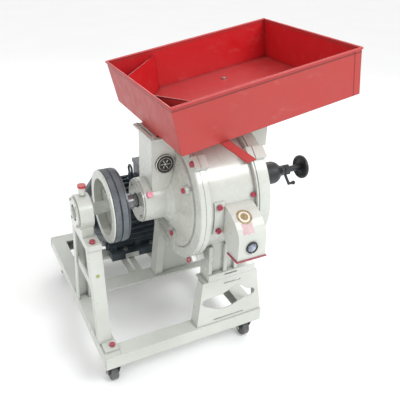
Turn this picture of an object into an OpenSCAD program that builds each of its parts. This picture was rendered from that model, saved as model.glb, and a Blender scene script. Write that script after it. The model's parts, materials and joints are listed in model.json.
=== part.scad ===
// Belt-driven disc mill for grain on a wheeled frame, with tray hopper and electric motor.
// Frame: origin on the floor under the middle of the whole machine. +X runs along the mill shaft
// from the pulley to the adjusting handwheel, +Y points to the motor, +Z is up. Millimetres.
// The pieces are drawn with X = 0 at the middle of the drum and Y = 0 in the mill shaft, and
// place() moves every node from there into the frame.

/* [Mill] */
// Height of the mill shaft above the floor
shaft_z = 584; // [520:1:640]
// Outer radius of the drum rim rings
rim_r = 225; // [200:1:240]
// Outer radius of the drum shell between the rings
shell_r = 210; // [190:1:215]
// Radius of the bearing tube on the pulley side
tube_r = 73.5; // [65:0.5:80]
// Left face of the feed-side flange plate
flange_x = -122; // [-130:1:-115]
// Right face of the end cover
cover_x = 130; // [124:1:138]
// Gap between the two grinding faces at the middle of the adjustment
stone_gap = 6; // [4.5:0.5:10]

/* [Drive] */
// Radius of the big pulley over the rim
pulley_r = 118; // [100:1:130]
// Radius of the motor pulley over the rim
motor_pulley_r = 59; // [50:1:75]
// Face width of both pulleys
pulley_w = 53; // [50:1:60]
// Left face of both pulleys
pulley_x = -360; // [-365:1:-350]
// Distance of the motor axis behind the mill shaft
motor_y = 430; // [410:1:440]
// Height of the motor axis above the motor foot
motor_h = 145; // [132:1:160]

/* [Hopper] */
// Length of the tray rim along the shaft
tray_l = 629; // [560:1:680]
// Width of the tray rim
tray_w = 523; // [460:1:560]
// Depth of the tray
tray_h = 143; // [110:1:160]
// Slope of the tray towards the feed column
tray_tilt = 10.3; // [6:0.1:12]
// Height of the rim over the middle of the drum
tray_z = 1010; // [1005:1:1020]
// Sheet thickness of the tray
tray_t = 2.5; // [2:0.5:4]

/* [Base frame] */
// Top of the base channels above the floor
base_z = 148; // [130:1:160]
// Height of the base channels
base_h = 50; // [40:1:60]
// Width of the base channels
base_w = 54; // [45:1:60]
// Left edge of the base
base_x0 = -441; // [-450:1:-430]
// Right edge of the base
base_x1 = 150; // [145:1:170]
// Front edge of the base
base_y0 = -211; // [-225:1:-205]
// Rear edge of the base
base_y1 = 572; // [570:1:600]
// Wheel radius of the casters
wheel_r = 31; // [28:1:34]

/* [Hidden] */
$fn = 64;

web_t = 4.5;
sheet_t = 5;
foot_t = 7;
cream = [0.86, 0.87, 0.82];
tray_red = [0.78, 0.20, 0.17];
bolt_red = [0.70, 0.12, 0.20];
motor_blue = [0.17, 0.23, 0.28];
steel = [0.55, 0.57, 0.58];
black = [0.10, 0.11, 0.13];
rubber = [0.38, 0.41, 0.44];
stone = [0.62, 0.60, 0.55];

// running clearance of shafts in bores, radial
fit_gap = 0.05;
// air between parts that pass each other
air = 0.5;

shaft_r = 17.5;
bearing_r = 40;
bearing_w = 18;
cap_x0 = -246;
tube_x0 = -240;
seat_x1 = -216;
seal_x0 = -214;
seal_x1 = -206;
seal_r = 34;
chamber_x0 = -202;
chamber_r = 52;
column_x0 = -212;
column_y = 55;
column_z1 = 812;
duct_x0 = -198;
duct_x1 = -130;
duct_y = 47;
flange_t = 18;
ring_x0 = flange_x + flange_t;
ring_w = 19;
seam_x = 86;
seam_ring_w = 7;
seam_gap = 1;
shell_t = 10;
drum_in = shell_r - shell_t;

lug_angles = [42, 138, 222, 318];
cap_angles = [45, 135, 225, 315];
// angle and radius of the bolts on the flange plate
flange_bolts = [[60, 170], [150, 132], [240, 170], [330, 132]];
lug_r0 = 208;
lug_r1 = 243;
lug_w = 44;
lug_bolt_r = 233;
left_lug_x1 = -78;
right_lug_x1 = 128;
lug_end = 8;

plate_z1 = 818;

outboard_x0 = -446;
outboard_x1 = -402;
outboard_r = 56;
cup_x = -421;
pad_z = 490;

motor_z = base_z + motor_h;
motor_r = 130;
fin_r = 150;
shield_x0 = -290;
body_x0 = -262;
body_x1 = -38;
cowl_x1 = 72;
foot_h = 32;
motor_shaft_r = 19;
belt_pitch = 22;
belt_top = 1.5;
centre_l = sqrt(pow(motor_y, 2) + pow(shaft_z - motor_z, 2));
centre_a = atan2(shaft_z - motor_z, motor_y);

tray_x0 = -238;
tray_x1 = tray_x0 + tray_l;
tray_y0 = -240;
tray_y1 = tray_y0 + tray_w;
lean = 11;
hook_r = 4;
gate_t = 3;

runner_x = -70;
carrier_face = -18;

foot_z = 312;
leg_x0 = base_x0;
leg_x1 = -397;
leg_t = 30;
leg_top_y = 62;
leg_foot_y = 112;
stand_bolt_x = leg_x0 + 37;
stand_bolt_y = leg_foot_y + leg_t + 24;
pad_bolt_x = -421;
pad_bolt_y = 78;

rail_w = 56;
rail_x = [-187, -70];
slot_w = 13;
foot_bolt_y = 120;
bracket_bolt_y = 25;
bracket_bolt_z = 752;

caster_x = [base_x0 + 36, base_x1 - 36];
caster_y = [base_y0 + 40, 455];

screw_r = 12;
boss_x1 = 236;
lever_x = 352;
handwheel_x = 419;

shaft_end = -458;
screw_end = handwheel_x + 26;
pull_y = -380;
centre_x = (shaft_end + screw_end) / 2;
centre_y = (pull_y + motor_y + fin_r) / 2;

// ------------------------------------------------------------------ helpers

// moves a node from drum coordinates into the frame of the machine
module place() {
    translate([-centre_x, -centre_y, 0]) children();
}

// turns a shape drawn around +Z so that it runs along +X
module along_x() {
    rotate([0, 90, 0]) children();
}

// places a shape drawn around the X axis on the mill shaft
module on_shaft() {
    translate([0, 0, shaft_z]) children();
}

// places a shape drawn around the X axis on the motor shaft
module on_motor() {
    translate([0, motor_y, motor_z]) children();
}

// cylinder along X between two X values
module rod(x0, x1, r) {
    translate([x0, 0, 0]) along_x() cylinder(h = x1 - x0, r = r);
}

// tube along X
module ring(x0, x1, ro, ri) {
    difference() {
        rod(x0, x1, ro);
        rod(x0 - 1, x1 + 1, ri);
    }
}

// solid of revolution around X; points are [radius, x]
module turned(points) {
    rotate([0, 90, 0]) rotate_extrude() polygon(points);
}

// frame of the sloping tray: local X up the slope, local Z square to the floor of the tray
module on_tray() {
    translate([0, 0, tray_z]) rotate([0, -tray_tilt, 0]) children();
}

// hexagon head along +X from x, with a washer face
module hex_x(x, af, h) {
    translate([x, 0, 0]) along_x() cylinder(h = h, r = af / 2 / cos(30), $fn = 6);
}

// hexagon bolt pointing down: head on z = 0, shank through the grip, nut under it
module bolt_down(af, head_h, shank_r, grip) {
    cylinder(h = head_h, r = af / 2 / cos(30), $fn = 6);
    translate([0, 0, -grip - 9]) cylinder(h = grip + 10, r = shank_r, $fn = 32);
    translate([0, 0, -grip - 6]) cylinder(h = 6, r = af / 2 / cos(30), $fn = 6);
}

// turns a shape from straight up to an angle towards the front (-Y) around X
module around(a) {
    rotate([a, 0, 0]) children();
}

// extrudes a YZ outline along X from x0 to x1
module slab_x(x0, x1) {
    translate([x0, 0, 0]) rotate([90, 0, 90]) linear_extrude(height = x1 - x0) children();
}

// extrudes an XZ outline along Y from y0 to y1
module slab_y(y0, y1) {
    translate([0, y1, 0]) rotate([90, 0, 0]) linear_extrude(height = y1 - y0) children();
}

// ------------------------------------------------------------------ base frame

// channel along +Y with the web at x = 0 and the toes towards +X
module channel(l) {
    difference() {
        cube([base_w, l, base_h]);
        translate([web_t, -1, web_t]) cube([base_w, l + 2, base_h - 2 * web_t]);
    }
}

module left_beam() {
    color(cream)
        difference() {
            translate([base_x0, base_y0 + web_t, base_z - base_h])
                channel(base_y1 - base_y0 - 2 * web_t);
            for (s = [-1, 1])
                translate([stand_bolt_x, s * stand_bolt_y, base_z - 10]) cylinder(h = 20, r = 5.5);
        }
}

module right_beam() {
    color(cream)
        translate([base_x1, base_y0 + web_t, base_z - base_h])
        mirror([1, 0, 0])
        channel(base_y1 - base_y0 - 2 * web_t);
}

// web over the full width, toes between the side beams
module end_beam() {
    translate([base_x0, 0, 0]) cube([base_x1 - base_x0, web_t, base_h]);
    for (z = [0, base_h - web_t])
        translate([base_x0 + base_w, 0, z])
            cube([base_x1 - base_x0 - 2 * base_w, base_w, web_t]);
}

module front_beam() {
    color(cream) translate([0, base_y0, base_z - base_h]) end_beam();
}

// the rear beam carries the rear motor feet, so its top flange has the same slots as the rails
module rear_beam() {
    color(cream)
        difference() {
            translate([0, base_y1, base_z - base_h]) mirror([0, 1, 0]) end_beam();
            for (x = rail_x)
                translate([x - slot_w / 2, motor_y + foot_bolt_y - 18, base_z - 10])
                    cube([slot_w, 34, 20]);
        }
}

mid_y0 = 122;
mid_y1 = 190;
flat_t = 8;
bar_y0 = 345;
bar_t = 12;

module middle_plate() {
    color(cream)
        translate([base_x0 + base_w, mid_y0, base_z - flat_t])
        cube([base_x1 - base_x0 - 2 * base_w, mid_y1 - mid_y0, flat_t]);
}

// bar under the motor rails, let into the side channels
module rear_cross_bar() {
    color(cream)
        translate([base_x0 + web_t, bar_y0, base_z - flat_t - bar_t])
        cube([base_x1 - base_x0 - 2 * web_t, 60, bar_t]);
}

rail_y1 = base_y1 - base_w;

// two slotted rails along which the motor is shifted to tighten the belts
module motor_rails() place() {
    color(cream)
    for (x = rail_x)
        difference() {
            translate([x - rail_w / 2, mid_y1, base_z - flat_t])
                cube([rail_w, rail_y1 - mid_y1, flat_t]);
            translate([x - slot_w / 2, mid_y1 + 14, base_z - flat_t - 1])
                cube([slot_w, rail_y1 - mid_y1 - 28, flat_t + 2]);
        }
}

// ------------------------------------------------------------------ outboard bearing stand

leg_w = leg_x1 - leg_x0;
shelf_t = 8;

// outline of one leg seen along X, leaning out towards the foot
module leg_side() {
    polygon([[leg_top_y, pad_z - shelf_t], [leg_foot_y, base_z], [leg_foot_y + leg_t, base_z],
        [leg_top_y + leg_t, pad_z - shelf_t]]);
}

// front and rear leg as one U-section pair with foot plates
module bearing_legs() {
    color(cream)
    for (s = [-1, 1])
        mirror([0, s < 0 ? 1 : 0, 0]) {
            slab_x(leg_x0, leg_x0 + sheet_t) leg_side();
            slab_x(leg_x1 - sheet_t, leg_x1) leg_side();
            slab_x(leg_x0 + sheet_t, leg_x1 - sheet_t)
                polygon([[leg_top_y + leg_t - sheet_t, pad_z - shelf_t],
                    [leg_foot_y + leg_t - sheet_t, base_z],
                    [leg_foot_y + leg_t, base_z],
                    [leg_top_y + leg_t, pad_z - shelf_t]]);
            difference() {
                translate([leg_x0 + 6, leg_foot_y + leg_t - 1, base_z])
                    cube([leg_w + 4, 46, foot_t]);
                translate([stand_bolt_x, stand_bolt_y, base_z - 1])
                    cylinder(h = 9, r = 5.5, $fn = 32);
            }
        }
}

// shelf plate on top of the legs and the tie between them
module leg_brace() {
    color(cream) {
        difference() {
            translate([leg_x0, -leg_top_y - leg_t, pad_z - shelf_t])
                cube([leg_w, 2 * (leg_top_y + leg_t), shelf_t]);
            for (s = [-1, 1])
                translate([pad_bolt_x, s * pad_bolt_y, pad_z - 10])
                    cylinder(h = 12, r = 6.5, $fn = 32);
        }
        translate([leg_x0 + sheet_t, -92, 330]) cube([6, 184, 34]);
    }
}

// ------------------------------------------------------------------ drum stand

front_lean = atan(25 / (foot_z - base_z));
front_h = (foot_z - base_z) / cos(front_lean);
stand_x0 = -111;
stand_x1 = 149;
stand_in = [30, 14];

// eye-shaped window with pointed lobes
module eye() {
    polygon([[-88, 88], [-78, 76], [-60, 66], [-30, 52], [0, 45], [30, 48], [58, 58],
        [84, 66], [108, 66], [124, 72], [127, 84], [118, 94], [100, 96], [86, 104],
        [72, 118], [54, 124], [34, 122], [14, 112], [-10, 104], [-40, 104], [-66, 102],
        [-82, 98]]);
}

// front plate outline in its own plane, height 0 at the beam
module front_sheet() {
    difference() {
        polygon([[stand_x0, 0], [stand_x1, 0], [stand_x1 - stand_in[1], front_h],
            [stand_x0 + stand_in[0], front_h]]);
        eye();
        translate([-44, 9]) square([120, 5]);
        translate([0, 144]) square([66, 5]);
    }
}

// folded sheet leg of the drum on the front beam
module stand_front() place() {
    color(cream) {
        difference() {
            translate([0, -205, base_z])
                rotate([90 - front_lean, 0, 0])
                translate([0, 0, -sheet_t])
                linear_extrude(height = sheet_t) front_sheet();
            translate([stand_x0 - 1, -210, base_z - 10])
                cube([stand_x1 - stand_x0 + 2, 20, 10]);
        }
        for (s = [0, 1])
            translate([s == 0 ? stand_x0 + 1 : stand_x1 - 1, 0, base_z])
                mirror([s, 0, 0])
                rotate([0, atan(stand_in[s] / (foot_z - base_z)), 0])
                slab_x(0, sheet_t)
                    polygon([[-203, 1], [-157, 1], [-140, foot_z - base_z - 2],
                        [-178, foot_z - base_z - 2]]);
        translate([stand_x0 + 3, -203, base_z])
            cube([stand_x1 - stand_x0 - 6, 46, sheet_t]);
        translate([stand_x0 + stand_in[0] + 3, -178, foot_z - 6])
            cube([stand_x1 - stand_x0 - stand_in[0] - stand_in[1] - 6, 60, 6]);
    }
}

post_z = 378;

// welded leg of the drum on the middle plate: two leaning posts, panel and top plate
module stand_rear() place() {
    color(cream) {
        slab_y(mid_y0 + 14, mid_y1 - 6) {
            polygon([[-127, base_z], [-94, base_z], [-72, post_z], [-105, post_z]]);
            polygon([[117, base_z], [base_x1, base_z], [base_x1, post_z], [132, post_z]]);
        }
        slab_y(mid_y0 + 26, mid_y0 + 32)
            polygon([[-100, base_z], [138, base_z], [132, foot_z], [-84, foot_z]]);
        translate([-84, mid_y0 - 4, foot_z - 6]) cube([216, 62, 6]);
    }
}

// ------------------------------------------------------------------ drum

// block of a clamp lug on the rim, from x0 to x1
module lug(x0, x1) {
    translate([x0, -lug_w / 2, lug_r0]) cube([x1 - x0, lug_w, lug_r1 - lug_r0]);
}

module lug_hole(x0, x1) {
    translate([0, 0, lug_bolt_r]) rod(x0, x1, 5.5);
}

pad_x0 = -60;
pad_x1 = 124;
pad_h = 28;
rib_x = [-60, -2, 40];
outlet_z0 = 540;

// foot bracket under the drum, front side; ribs and a wall behind them run up into the shell
module drum_foot() {
    translate([pad_x0, -180, foot_z]) cube([pad_x1 - pad_x0, 62, pad_h]);
    for (x = rib_x)
        translate([x, -176, foot_z]) cube([14, 54, 140]);
    translate([pad_x0 + 4, -164, foot_z]) cube([rib_x[2] + 10 - pad_x0 - 4, 8, 148]);
}

// seat of the screwed plug in the shell next to the seam
module at_plug() {
    around(75) translate([70, 0, 190]) children();
}

module drum_casing() place() {
    color(cream)
    difference() {
        union() {
            on_shaft() rod(ring_x0, seam_x, shell_r);
            on_shaft() rod(ring_x0, ring_x0 + ring_w, rim_r);
            on_shaft() rod(seam_x - seam_ring_w, seam_x, rim_r);
            on_shaft()
                for (a = lug_angles)
                    around(a) {
                        lug(ring_x0, left_lug_x1);
                        lug(seam_x - 22, seam_x);
                    }
            drum_foot();
            mirror([0, 1, 0]) drum_foot();
        }
        on_shaft() rod(ring_x0 - 1, seam_x + 1, drum_in);
        on_shaft()
            for (a = lug_angles)
                around(a) {
                    lug_hole(ring_x0 - 1, left_lug_x1 - lug_end);
                    lug_hole(seam_x - 30, seam_x + 1);
                }
        translate([-28, -shell_r - 30, outlet_z0]) cube([86, 110, 602 - outlet_z0]);
        translate([2, -181, foot_z + 14]) cube([50, 9, 5]);
        on_shaft() {
            tab_holes();
            at_plug() cylinder(h = 40, r = 5.6, $fn = 32);
        }
    }
}

// feed-side casting: flange plate, bearing tube and feed column in one piece
module feed_flange() place() {
    color(cream)
    difference() {
        union() {
            on_shaft()
                turned([[0, tube_x0], [tube_r, tube_x0], [tube_r, -168], [78, -157],
                    [90, -147], [116, -139], [180, -131], [184, flange_x],
                    [rim_r - 3, flange_x], [rim_r, flange_x + 3], [rim_r, ring_x0],
                    [0, ring_x0]]);
            translate([column_x0, -column_y, shaft_z])
                cube([-column_x0 + flange_x + 4, 2 * column_y, column_z1 - shaft_z]);
            for (s = [0, 1])
                mirror([0, s, 0])
                    translate([0, 0, shaft_z])
                    linear_extrude(height = 200)
                    polygon([[-134, -column_y + 2], [-133, -column_y - 1],
                        [-129, -column_y - 8], [-126, -column_y - 20],
                        [-124, -column_y - 34], [-118, -column_y - 36],
                        [-118, -column_y + 2]]);
            on_shaft()
                for (a = lug_angles)
                    around(a) lug(flange_x, ring_x0);
            on_shaft()
                for (b = flange_bolts)
                    around(b[0])
                    translate([0, 0, b[1]]) rod(-144, -126, 14);
        }
        on_shaft() {
            rod(tube_x0 - 1, seat_x1, bearing_r);
            rod(seat_x1 - 1, seal_x1, seal_r);
            rod(seal_x1 - 1, chamber_x0 + 1, shaft_r + 3);
            rod(chamber_x0, ring_x0 + 1, chamber_r);
            for (a = lug_angles)
                around(a) lug_hole(flange_x - 20, ring_x0 + 1);
            translate([-223, 0, 0]) around(54) cylinder(h = 100, r = 6.2, $fn = 32);
            for (a = cap_angles)
                around(a)
                translate([0, 0, 58]) rod(tube_x0 - 1, tube_x0 + 16, 3.3);
        }
        translate([duct_x0, -duct_y, shaft_z]) cube([duct_x1 - duct_x0, 2 * duct_y, 300]);
    }
}

// bolted plate that closes the feed column and carries the hopper neck
module column_plate() place() {
    color(cream)
    difference() {
        translate([-222, -78, column_z1]) cube([118, 156, plate_z1 - column_z1]);
        translate([-186, -45, column_z1 - 1]) cube([54, 90, 8]);
        translate([-209, -45, column_z1 - 1]) cube([6, 105, 8]);
    }
}

module bearing_cap() {
    color(cream)
    on_shaft()
    difference() {
        rod(cap_x0, tube_x0, tube_r - 3);
        rod(cap_x0 - 1, tube_x0 + 1, shaft_r + 7);
        for (a = cap_angles)
            around(a)
            translate([0, 0, 58]) rod(cap_x0 - 1, tube_x0 + 1, 3.3);
    }
}

// bearing outer rings: one in the bearing tube, one in the outboard housing
module bearing_outer_rings() place() {
    color(steel)
    on_shaft() {
        ring(tube_x0 + 3, tube_x0 + 3 + bearing_w, bearing_r, 30);
        ring(outboard_x0 + 14, outboard_x0 + 14 + bearing_w, bearing_r, 30);
    }
}

module bearing_inner_rings() {
    color(steel)
    on_shaft() {
        ring(tube_x0 + 3, tube_x0 + 3 + bearing_w, 29, shaft_r);
        ring(outboard_x0 + 14, outboard_x0 + 14 + bearing_w, 29, shaft_r);
    }
}

module shaft_seal() {
    color(black) on_shaft() ring(seal_x0, seal_x1, seal_r, shaft_r + 0.4);
}

// flat gasket between the drum rim and the end cover
module cover_gasket() {
    color(black) on_shaft() ring(seam_x, seam_x + seam_gap, rim_r - 1, drum_in + 6);
}

// grease plug of the bearing tube and grease cup of the outboard bearing
module grease_plug() {
    color([0.86, 0.35, 0.45])
    on_shaft()
        translate([-223, 0, 0]) around(54) {
            translate([0, 0, 62]) cylinder(h = tube_r - 62 + 2, r = 6.2, $fn = 32);
            translate([0, 0, tube_r + 1]) cylinder(h = 7, r = 9.5);
        }
}

module grease_cup() {
    color(bolt_red)
    on_shaft()
        translate([cup_x, 0, 0]) {
            translate([0, 0, 46]) cylinder(h = outboard_r - 46 + 6, r = 6, $fn = 32);
            translate([0, 0, outboard_r + 3]) cylinder(h = 25, r = 10.5);
            translate([0, 0, outboard_r + 27]) cylinder(h = 8, r = 13);
        }
}

module round_badge() place() {
    color(black)
    translate([-168, -column_y, 724])
        rotate([90, 0, 0])
        difference() {
            cylinder(h = 4, r = 32);
            translate([0, 0, 2.5]) difference() {
                cylinder(h = 3, r = 29);
                translate([0, 0, -1]) cylinder(h = 5, r = 22);
            }
        }
}

sleeve_r = 40.4;
sleeve_x1 = 196;

// two tapped holes for the tray bracket
module bracket_holes() {
    for (s = [-1, 1])
        translate([0, s * bracket_bolt_y, bracket_bolt_z]) rod(115, 143, 5.3);
}

// end cover: deep rim, cone and boss with the guide bore of the stone carrier
module right_cover() place() {
    color(cream)
    difference() {
        union() {
            on_shaft()
                turned([[0, 116], [205, 116], [205, seam_x + seam_gap],
                    [rim_r + 2, seam_x + seam_gap], [rim_r + 2, cover_x - 3],
                    [rim_r - 1, cover_x], [130, cover_x], [118, cover_x + 8],
                    [56, 214], [46, 220], [46, boss_x1], [0, boss_x1]]);
            on_shaft()
                for (a = lug_angles)
                    around(a) lug(seam_x + seam_gap + 1, right_lug_x1);
        }
        on_shaft() {
            rod(107, sleeve_x1, sleeve_r);
            rod(sleeve_x1 - 1, boss_x1 + 1, screw_r + 0.5);
            for (a = lug_angles)
                around(a) lug_hole(seam_x, right_lug_x1 - lug_end);
            translate([107, -5.4, sleeve_r - 2]) cube([sleeve_x1 - 107, 10.8, 8]);
        }
        bracket_holes();
    }
}

// short clamp bolts through the rim lugs into the blind holes behind, painted heads
module lug_bolts() place() {
    color(bolt_red)
    on_shaft()
        for (a = lug_angles)
            around(a) translate([0, 0, lug_bolt_r]) {
                hex_x(flange_x - 8, 17, 8);
                rod(flange_x - 1, left_lug_x1 - lug_end - 2, 5);
                hex_x(seam_x - 30, 17, 8);
                rod(seam_x - 23, right_lug_x1 - lug_end - 2, 5);
            }
}

// painted hexagon heads on the flange bosses, drum shell, chute tab and bearing stand
module red_bolts() place() {
    color(bolt_red) {
        on_shaft()
            for (b = flange_bolts)
                around(b[0]) translate([0, 0, b[1]]) hex_x(-152, 17, 8);
        on_shaft()
            for (z = tab_bolt_z)
                translate([-54, 0, z]) rotate([90, 0, 0]) {
                    translate([0, 0, 185]) cylinder(h = 29, r = 5, $fn = 32);
                    translate([0, 0, 213]) cylinder(h = 7, r = 8.5 / cos(30), $fn = 6);
                }
        on_shaft()
            at_plug() {
                translate([0, 0, 8]) cylinder(h = 16, r = 5, $fn = 32);
                translate([0, 0, 21]) cylinder(h = 7, r = 7.5 / cos(30), $fn = 6);
            }
        for (s = [-1, 1]) {
            translate([stand_bolt_x, s * stand_bolt_y, base_z + foot_t])
                bolt_down(17, 8, 5, foot_t + web_t);
            translate([pad_bolt_x, s * pad_bolt_y, pad_z + 20])
                bolt_down(17, 9, 6, 20 + shelf_t);
        }
    }
}

// ------------------------------------------------------------------ discharge chute

chute_x0 = -35;
chute_x1 = 65;
chute_z0 = 475;
chute_y = -308;
sight_x = 13;
sight_z = 517;
tab_bolt_z = [-45, 40];
mouth_y1 = -252;

// holes of the bolts of the chute tabs, drilled towards the front
module tab_holes() {
    for (z = tab_bolt_z)
        translate([-54, 0, z]) rotate([90, 0, 0]) cylinder(h = 260, r = 5.6, $fn = 32);
}

// outline of the hood seen along X with its back wall sloping up to the shell; o is the inset of
// the inner surface
module hood_side(o) {
    b = o > 0 ? 1 : 0;
    polygon([[-196, outlet_z0 + 2.6 * o], [mouth_y1 - 1.3 * o - 0.8 * b, chute_z0 - b],
        [chute_y + o, chute_z0 - b],
        [chute_y + o, 543], [-303 + o, 562 - o / 2], [-291 + o, 581 - o],
        [-274 + o * 0.7, 597 - o], [-252 + o * 0.5, 610 - o],
        [-222, 621 - o], [-196, 627 - o]]);
}

// space taken by the drum shell and its ring at the seam
module drum_body() {
    on_shaft() {
        rod(ring_x0, seam_x, shell_r);
        rod(seam_x - seam_ring_w, seam_x, rim_r);
    }
}

// folded hood over the outlet, open at the bottom, with a curved bolting tab
module discharge_chute() place() {
    color(cream)
    difference() {
        union() {
            difference() {
                slab_x(chute_x0, chute_x1) hood_side(0);
                slab_x(chute_x0 + 3, chute_x1 - 3) hood_side(3);
            }
            intersection() {
                on_shaft() rod(-70, chute_x0 + 1, shell_r + 4.5);
                translate([-80, -260, 525]) cube([60, 210, 113]);
            }
        }
        drum_body();
        translate([sight_x, chute_y + 10, sight_z]) rotate([90, 0, 0]) cylinder(h = 20, r = 15);
        on_shaft() tab_holes();
    }
}

// turned-out lip round the mouth of the hood
module chute_lip() place() {
    color(bolt_red)
    difference() {
        translate([chute_x0 - 5, chute_y - 5, chute_z0 - 3])
            cube([110, mouth_y1 - chute_y + 7, 3]);
        translate([chute_x0 + 3, chute_y + 3, chute_z0 - 4])
            cube([94, mouth_y1 - chute_y - 8, 5]);
    }
}

module sight_ring() place() {
    color(black)
    translate([sight_x, chute_y, sight_z])
        rotate([90, 0, 0])
        difference() {
            cylinder(h = 6, r = 20);
            translate([0, 0, -1]) cylinder(h = 8, r = 15.5);
        }
}

module sight_glass() place() {
    color([0.65, 0.70, 0.80])
    translate([sight_x, chute_y + 3.5, sight_z])
        rotate([90, 0, 0]) cylinder(h = 7.5, r = 14.8);
}

// ------------------------------------------------------------------ outboard bearing

module outboard_housing() place() {
    color(cream)
    difference() {
        union() {
            on_shaft() rod(outboard_x0, outboard_x1, outboard_r);
            translate([outboard_x0 + 5, -40, pad_z]) cube([37, 80, shaft_z - pad_z]);
            translate([outboard_x0 + 5, -96, pad_z]) cube([44, 192, 20]);
        }
        on_shaft() {
            rod(outboard_x0 - 1, outboard_x0 + 34, bearing_r);
            rod(outboard_x0 + 33, outboard_x1 + 1, shaft_r + 6);
            translate([cup_x, 0, 38]) cylinder(h = 40, r = 6, $fn = 32);
        }
        on_shaft()
            for (a = cap_angles)
                around(a) translate([0, 0, 45.5]) rod(outboard_x0 - 1, outboard_x0 + 13, 2.7);
        for (s = [-1, 1])
            translate([pad_bolt_x, s * pad_bolt_y, pad_z - 1]) cylinder(h = 22, r = 6.5, $fn = 32);
    }
}

// screwed cover of the outboard bearing with a hole for the shaft end
module outboard_cap() {
    color(cream)
    on_shaft()
    difference() {
        union() {
            rod(outboard_x0 - 6, outboard_x0, 50);
            rod(outboard_x0 - 1, outboard_x0 + 12, bearing_r);
        }
        rod(outboard_x0 - 7, outboard_x0 + 13, 27);
        for (a = cap_angles)
            around(a) translate([0, 0, 45.5]) rod(outboard_x0 - 7, outboard_x0 + 1, 2.7);
    }
}

// small hexagon screws of the bearing caps
module cap_screws() {
    color(steel)
    on_shaft()
        for (a = cap_angles)
            around(a) {
                translate([0, 0, 58]) {
                    hex_x(cap_x0 - 4, 10, 4);
                    rod(cap_x0 - 1, tube_x0 + 14, 3);
                }
                translate([0, 0, 45.5]) {
                    hex_x(outboard_x0 - 9, 8, 3);
                    rod(outboard_x0 - 7, outboard_x0 + 12, 2.5);
                }
            }
}

// ------------------------------------------------------------------ rotor of the mill

module main_shaft() place() {
    color(steel)
    on_shaft() {
        rod(shaft_end + 3, -40, shaft_r);
        rod(shaft_end, shaft_end + 4, 14);
    }
}

// lock nut inside the outboard cap, spacer to the pulley and stepped collar before the bearing cap
module spacers() {
    color(steel)
    on_shaft() {
        difference() {
            hex_x(-449, 40, 10);
            rod(-450, -438, shaft_r);
        }
        ring(outboard_x1 + 2, pulley_x + 25, 20, shaft_r);
        ring(-284, -262, 26, shaft_r);
        ring(-262, -248, 22, shaft_r);
    }
}

// rim with two belt grooves around X; r is the land radius, d the groove depth
module groove_cut(r, d) {
    for (s = [-1, 1])
        rotate([0, 90, 0]) rotate_extrude()
            polygon([[r - d, pulley_x + pulley_w / 2 + s * belt_pitch / 2 - 10.25 + d / 4],
                [r + 1, pulley_x + pulley_w / 2 + s * belt_pitch / 2 - 10.5],
                [r + 1, pulley_x + pulley_w / 2 + s * belt_pitch / 2 + 10.5],
                [r - d, pulley_x + pulley_w / 2 + s * belt_pitch / 2 + 10.25 - d / 4]]);
}

module drive_pulley() place() {
    color(cream)
    on_shaft()
    difference() {
        union() {
            ring(pulley_x, pulley_x + pulley_w, pulley_r, 92);
            rod(pulley_x + 28, pulley_x + 41, 95);
            rod(pulley_x + 26, -285, 33);
        }
        groove_cut(pulley_r, 16);
        for (a = [45, 135, 225, 315])
            rotate([a, 0, 0])
            slab_x(pulley_x + 20, pulley_x + 50)
                polygon([[-20, 46], [20, 46], [46, 70], [40, 78], [18, 86], [-18, 86],
                    [-40, 78], [-46, 70]]);
        rod(pulley_x, -280, shaft_r);
    }
}

runner_r = 178;

// cast back plate of the running stone with three feed openings
module runner_plate() place() {
    color(steel)
    on_shaft()
    difference() {
        union() {
            rod(runner_x, runner_x + 14, runner_r);
            rod(runner_x - 14, runner_x + 24, 34);
            for (a = [0, 90, 180, 270])
                rotate([a, 0, 0])
                translate([runner_x - 8, -5, 100]) cube([9, 10, 76]);
        }
        for (a = [0, 120, 240])
            rotate([a, 0, 0])
            slab_x(runner_x - 1, runner_x + 15)
                polygon([[-32, 40], [32, 40], [46, 66], [30, 78], [-30, 78], [-46, 66]]);
        rod(runner_x - 15, runner_x + 25, shaft_r);
    }
}

module runner_stone() place() {
    color(stone)
    on_shaft() ring(runner_x + 14, carrier_face - stone_gap, runner_r - 2, 84);
}

// paddle sleeve that pushes the grain through the feed eye
module feed_worm() place() {
    color(steel)
    on_shaft()
    difference() {
        union() {
            rod(-198, -86, 24);
            for (i = [0:3])
                rotate([i * 90, 0, 0])
                translate([-184 + i * 26, -4, 20])
                rotate([0, 0, 24])
                translate([-14, 0, 0])
                cube([28, 5, 24]);
        }
        rod(-199, -85, shaft_r);
    }
}

// ------------------------------------------------------------------ grinding gap adjustment

collar_x0 = 152;
collar_x1 = 178;
hub_x1 = 184;

// sliding plate of the standing stone with its guide hub, key and collar chamber
module stone_carrier() place() {
    color(steel)
    on_shaft() {
        difference() {
            union() {
                rod(carrier_face + 30, carrier_face + 46, runner_r);
                turned([[0, 28], [64, 28], [40, 60], [40, hub_x1], [0, hub_x1]]);
                translate([104, -5, sleeve_r - 3]) cube([70, 10, 7]);
            }
            rod(collar_x0 - 1, collar_x1 + 0.3, 26);
            rod(0, hub_x1 + 1, 13);
        }
    }
}

module carrier_stone() place() {
    color(stone)
    on_shaft() ring(carrier_face, carrier_face + 30, runner_r - 2, 70);
}

// long adjusting screw with its thrust collar inside the carrier hub
module adjust_screw() place() {
    color(black)
    on_shaft() {
        rod(collar_x0, collar_x1, 24);
        rod(collar_x0, handwheel_x + 20, screw_r);
        hex_x(handwheel_x + 16, 24, 10);
    }
}

module handwheel() place() {
    color(black)
    on_shaft()
    difference() {
        turned([[0, handwheel_x - 8], [18, handwheel_x - 8], [18, handwheel_x - 1],
            [34, handwheel_x + 1], [40, handwheel_x - 5], [44, handwheel_x - 2],
            [44, handwheel_x + 7], [38, handwheel_x + 10], [16, handwheel_x + 6],
            [16, handwheel_x + 15], [0, handwheel_x + 15]]);
        rod(handwheel_x - 20, handwheel_x + 30, screw_r);
    }
}

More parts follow.
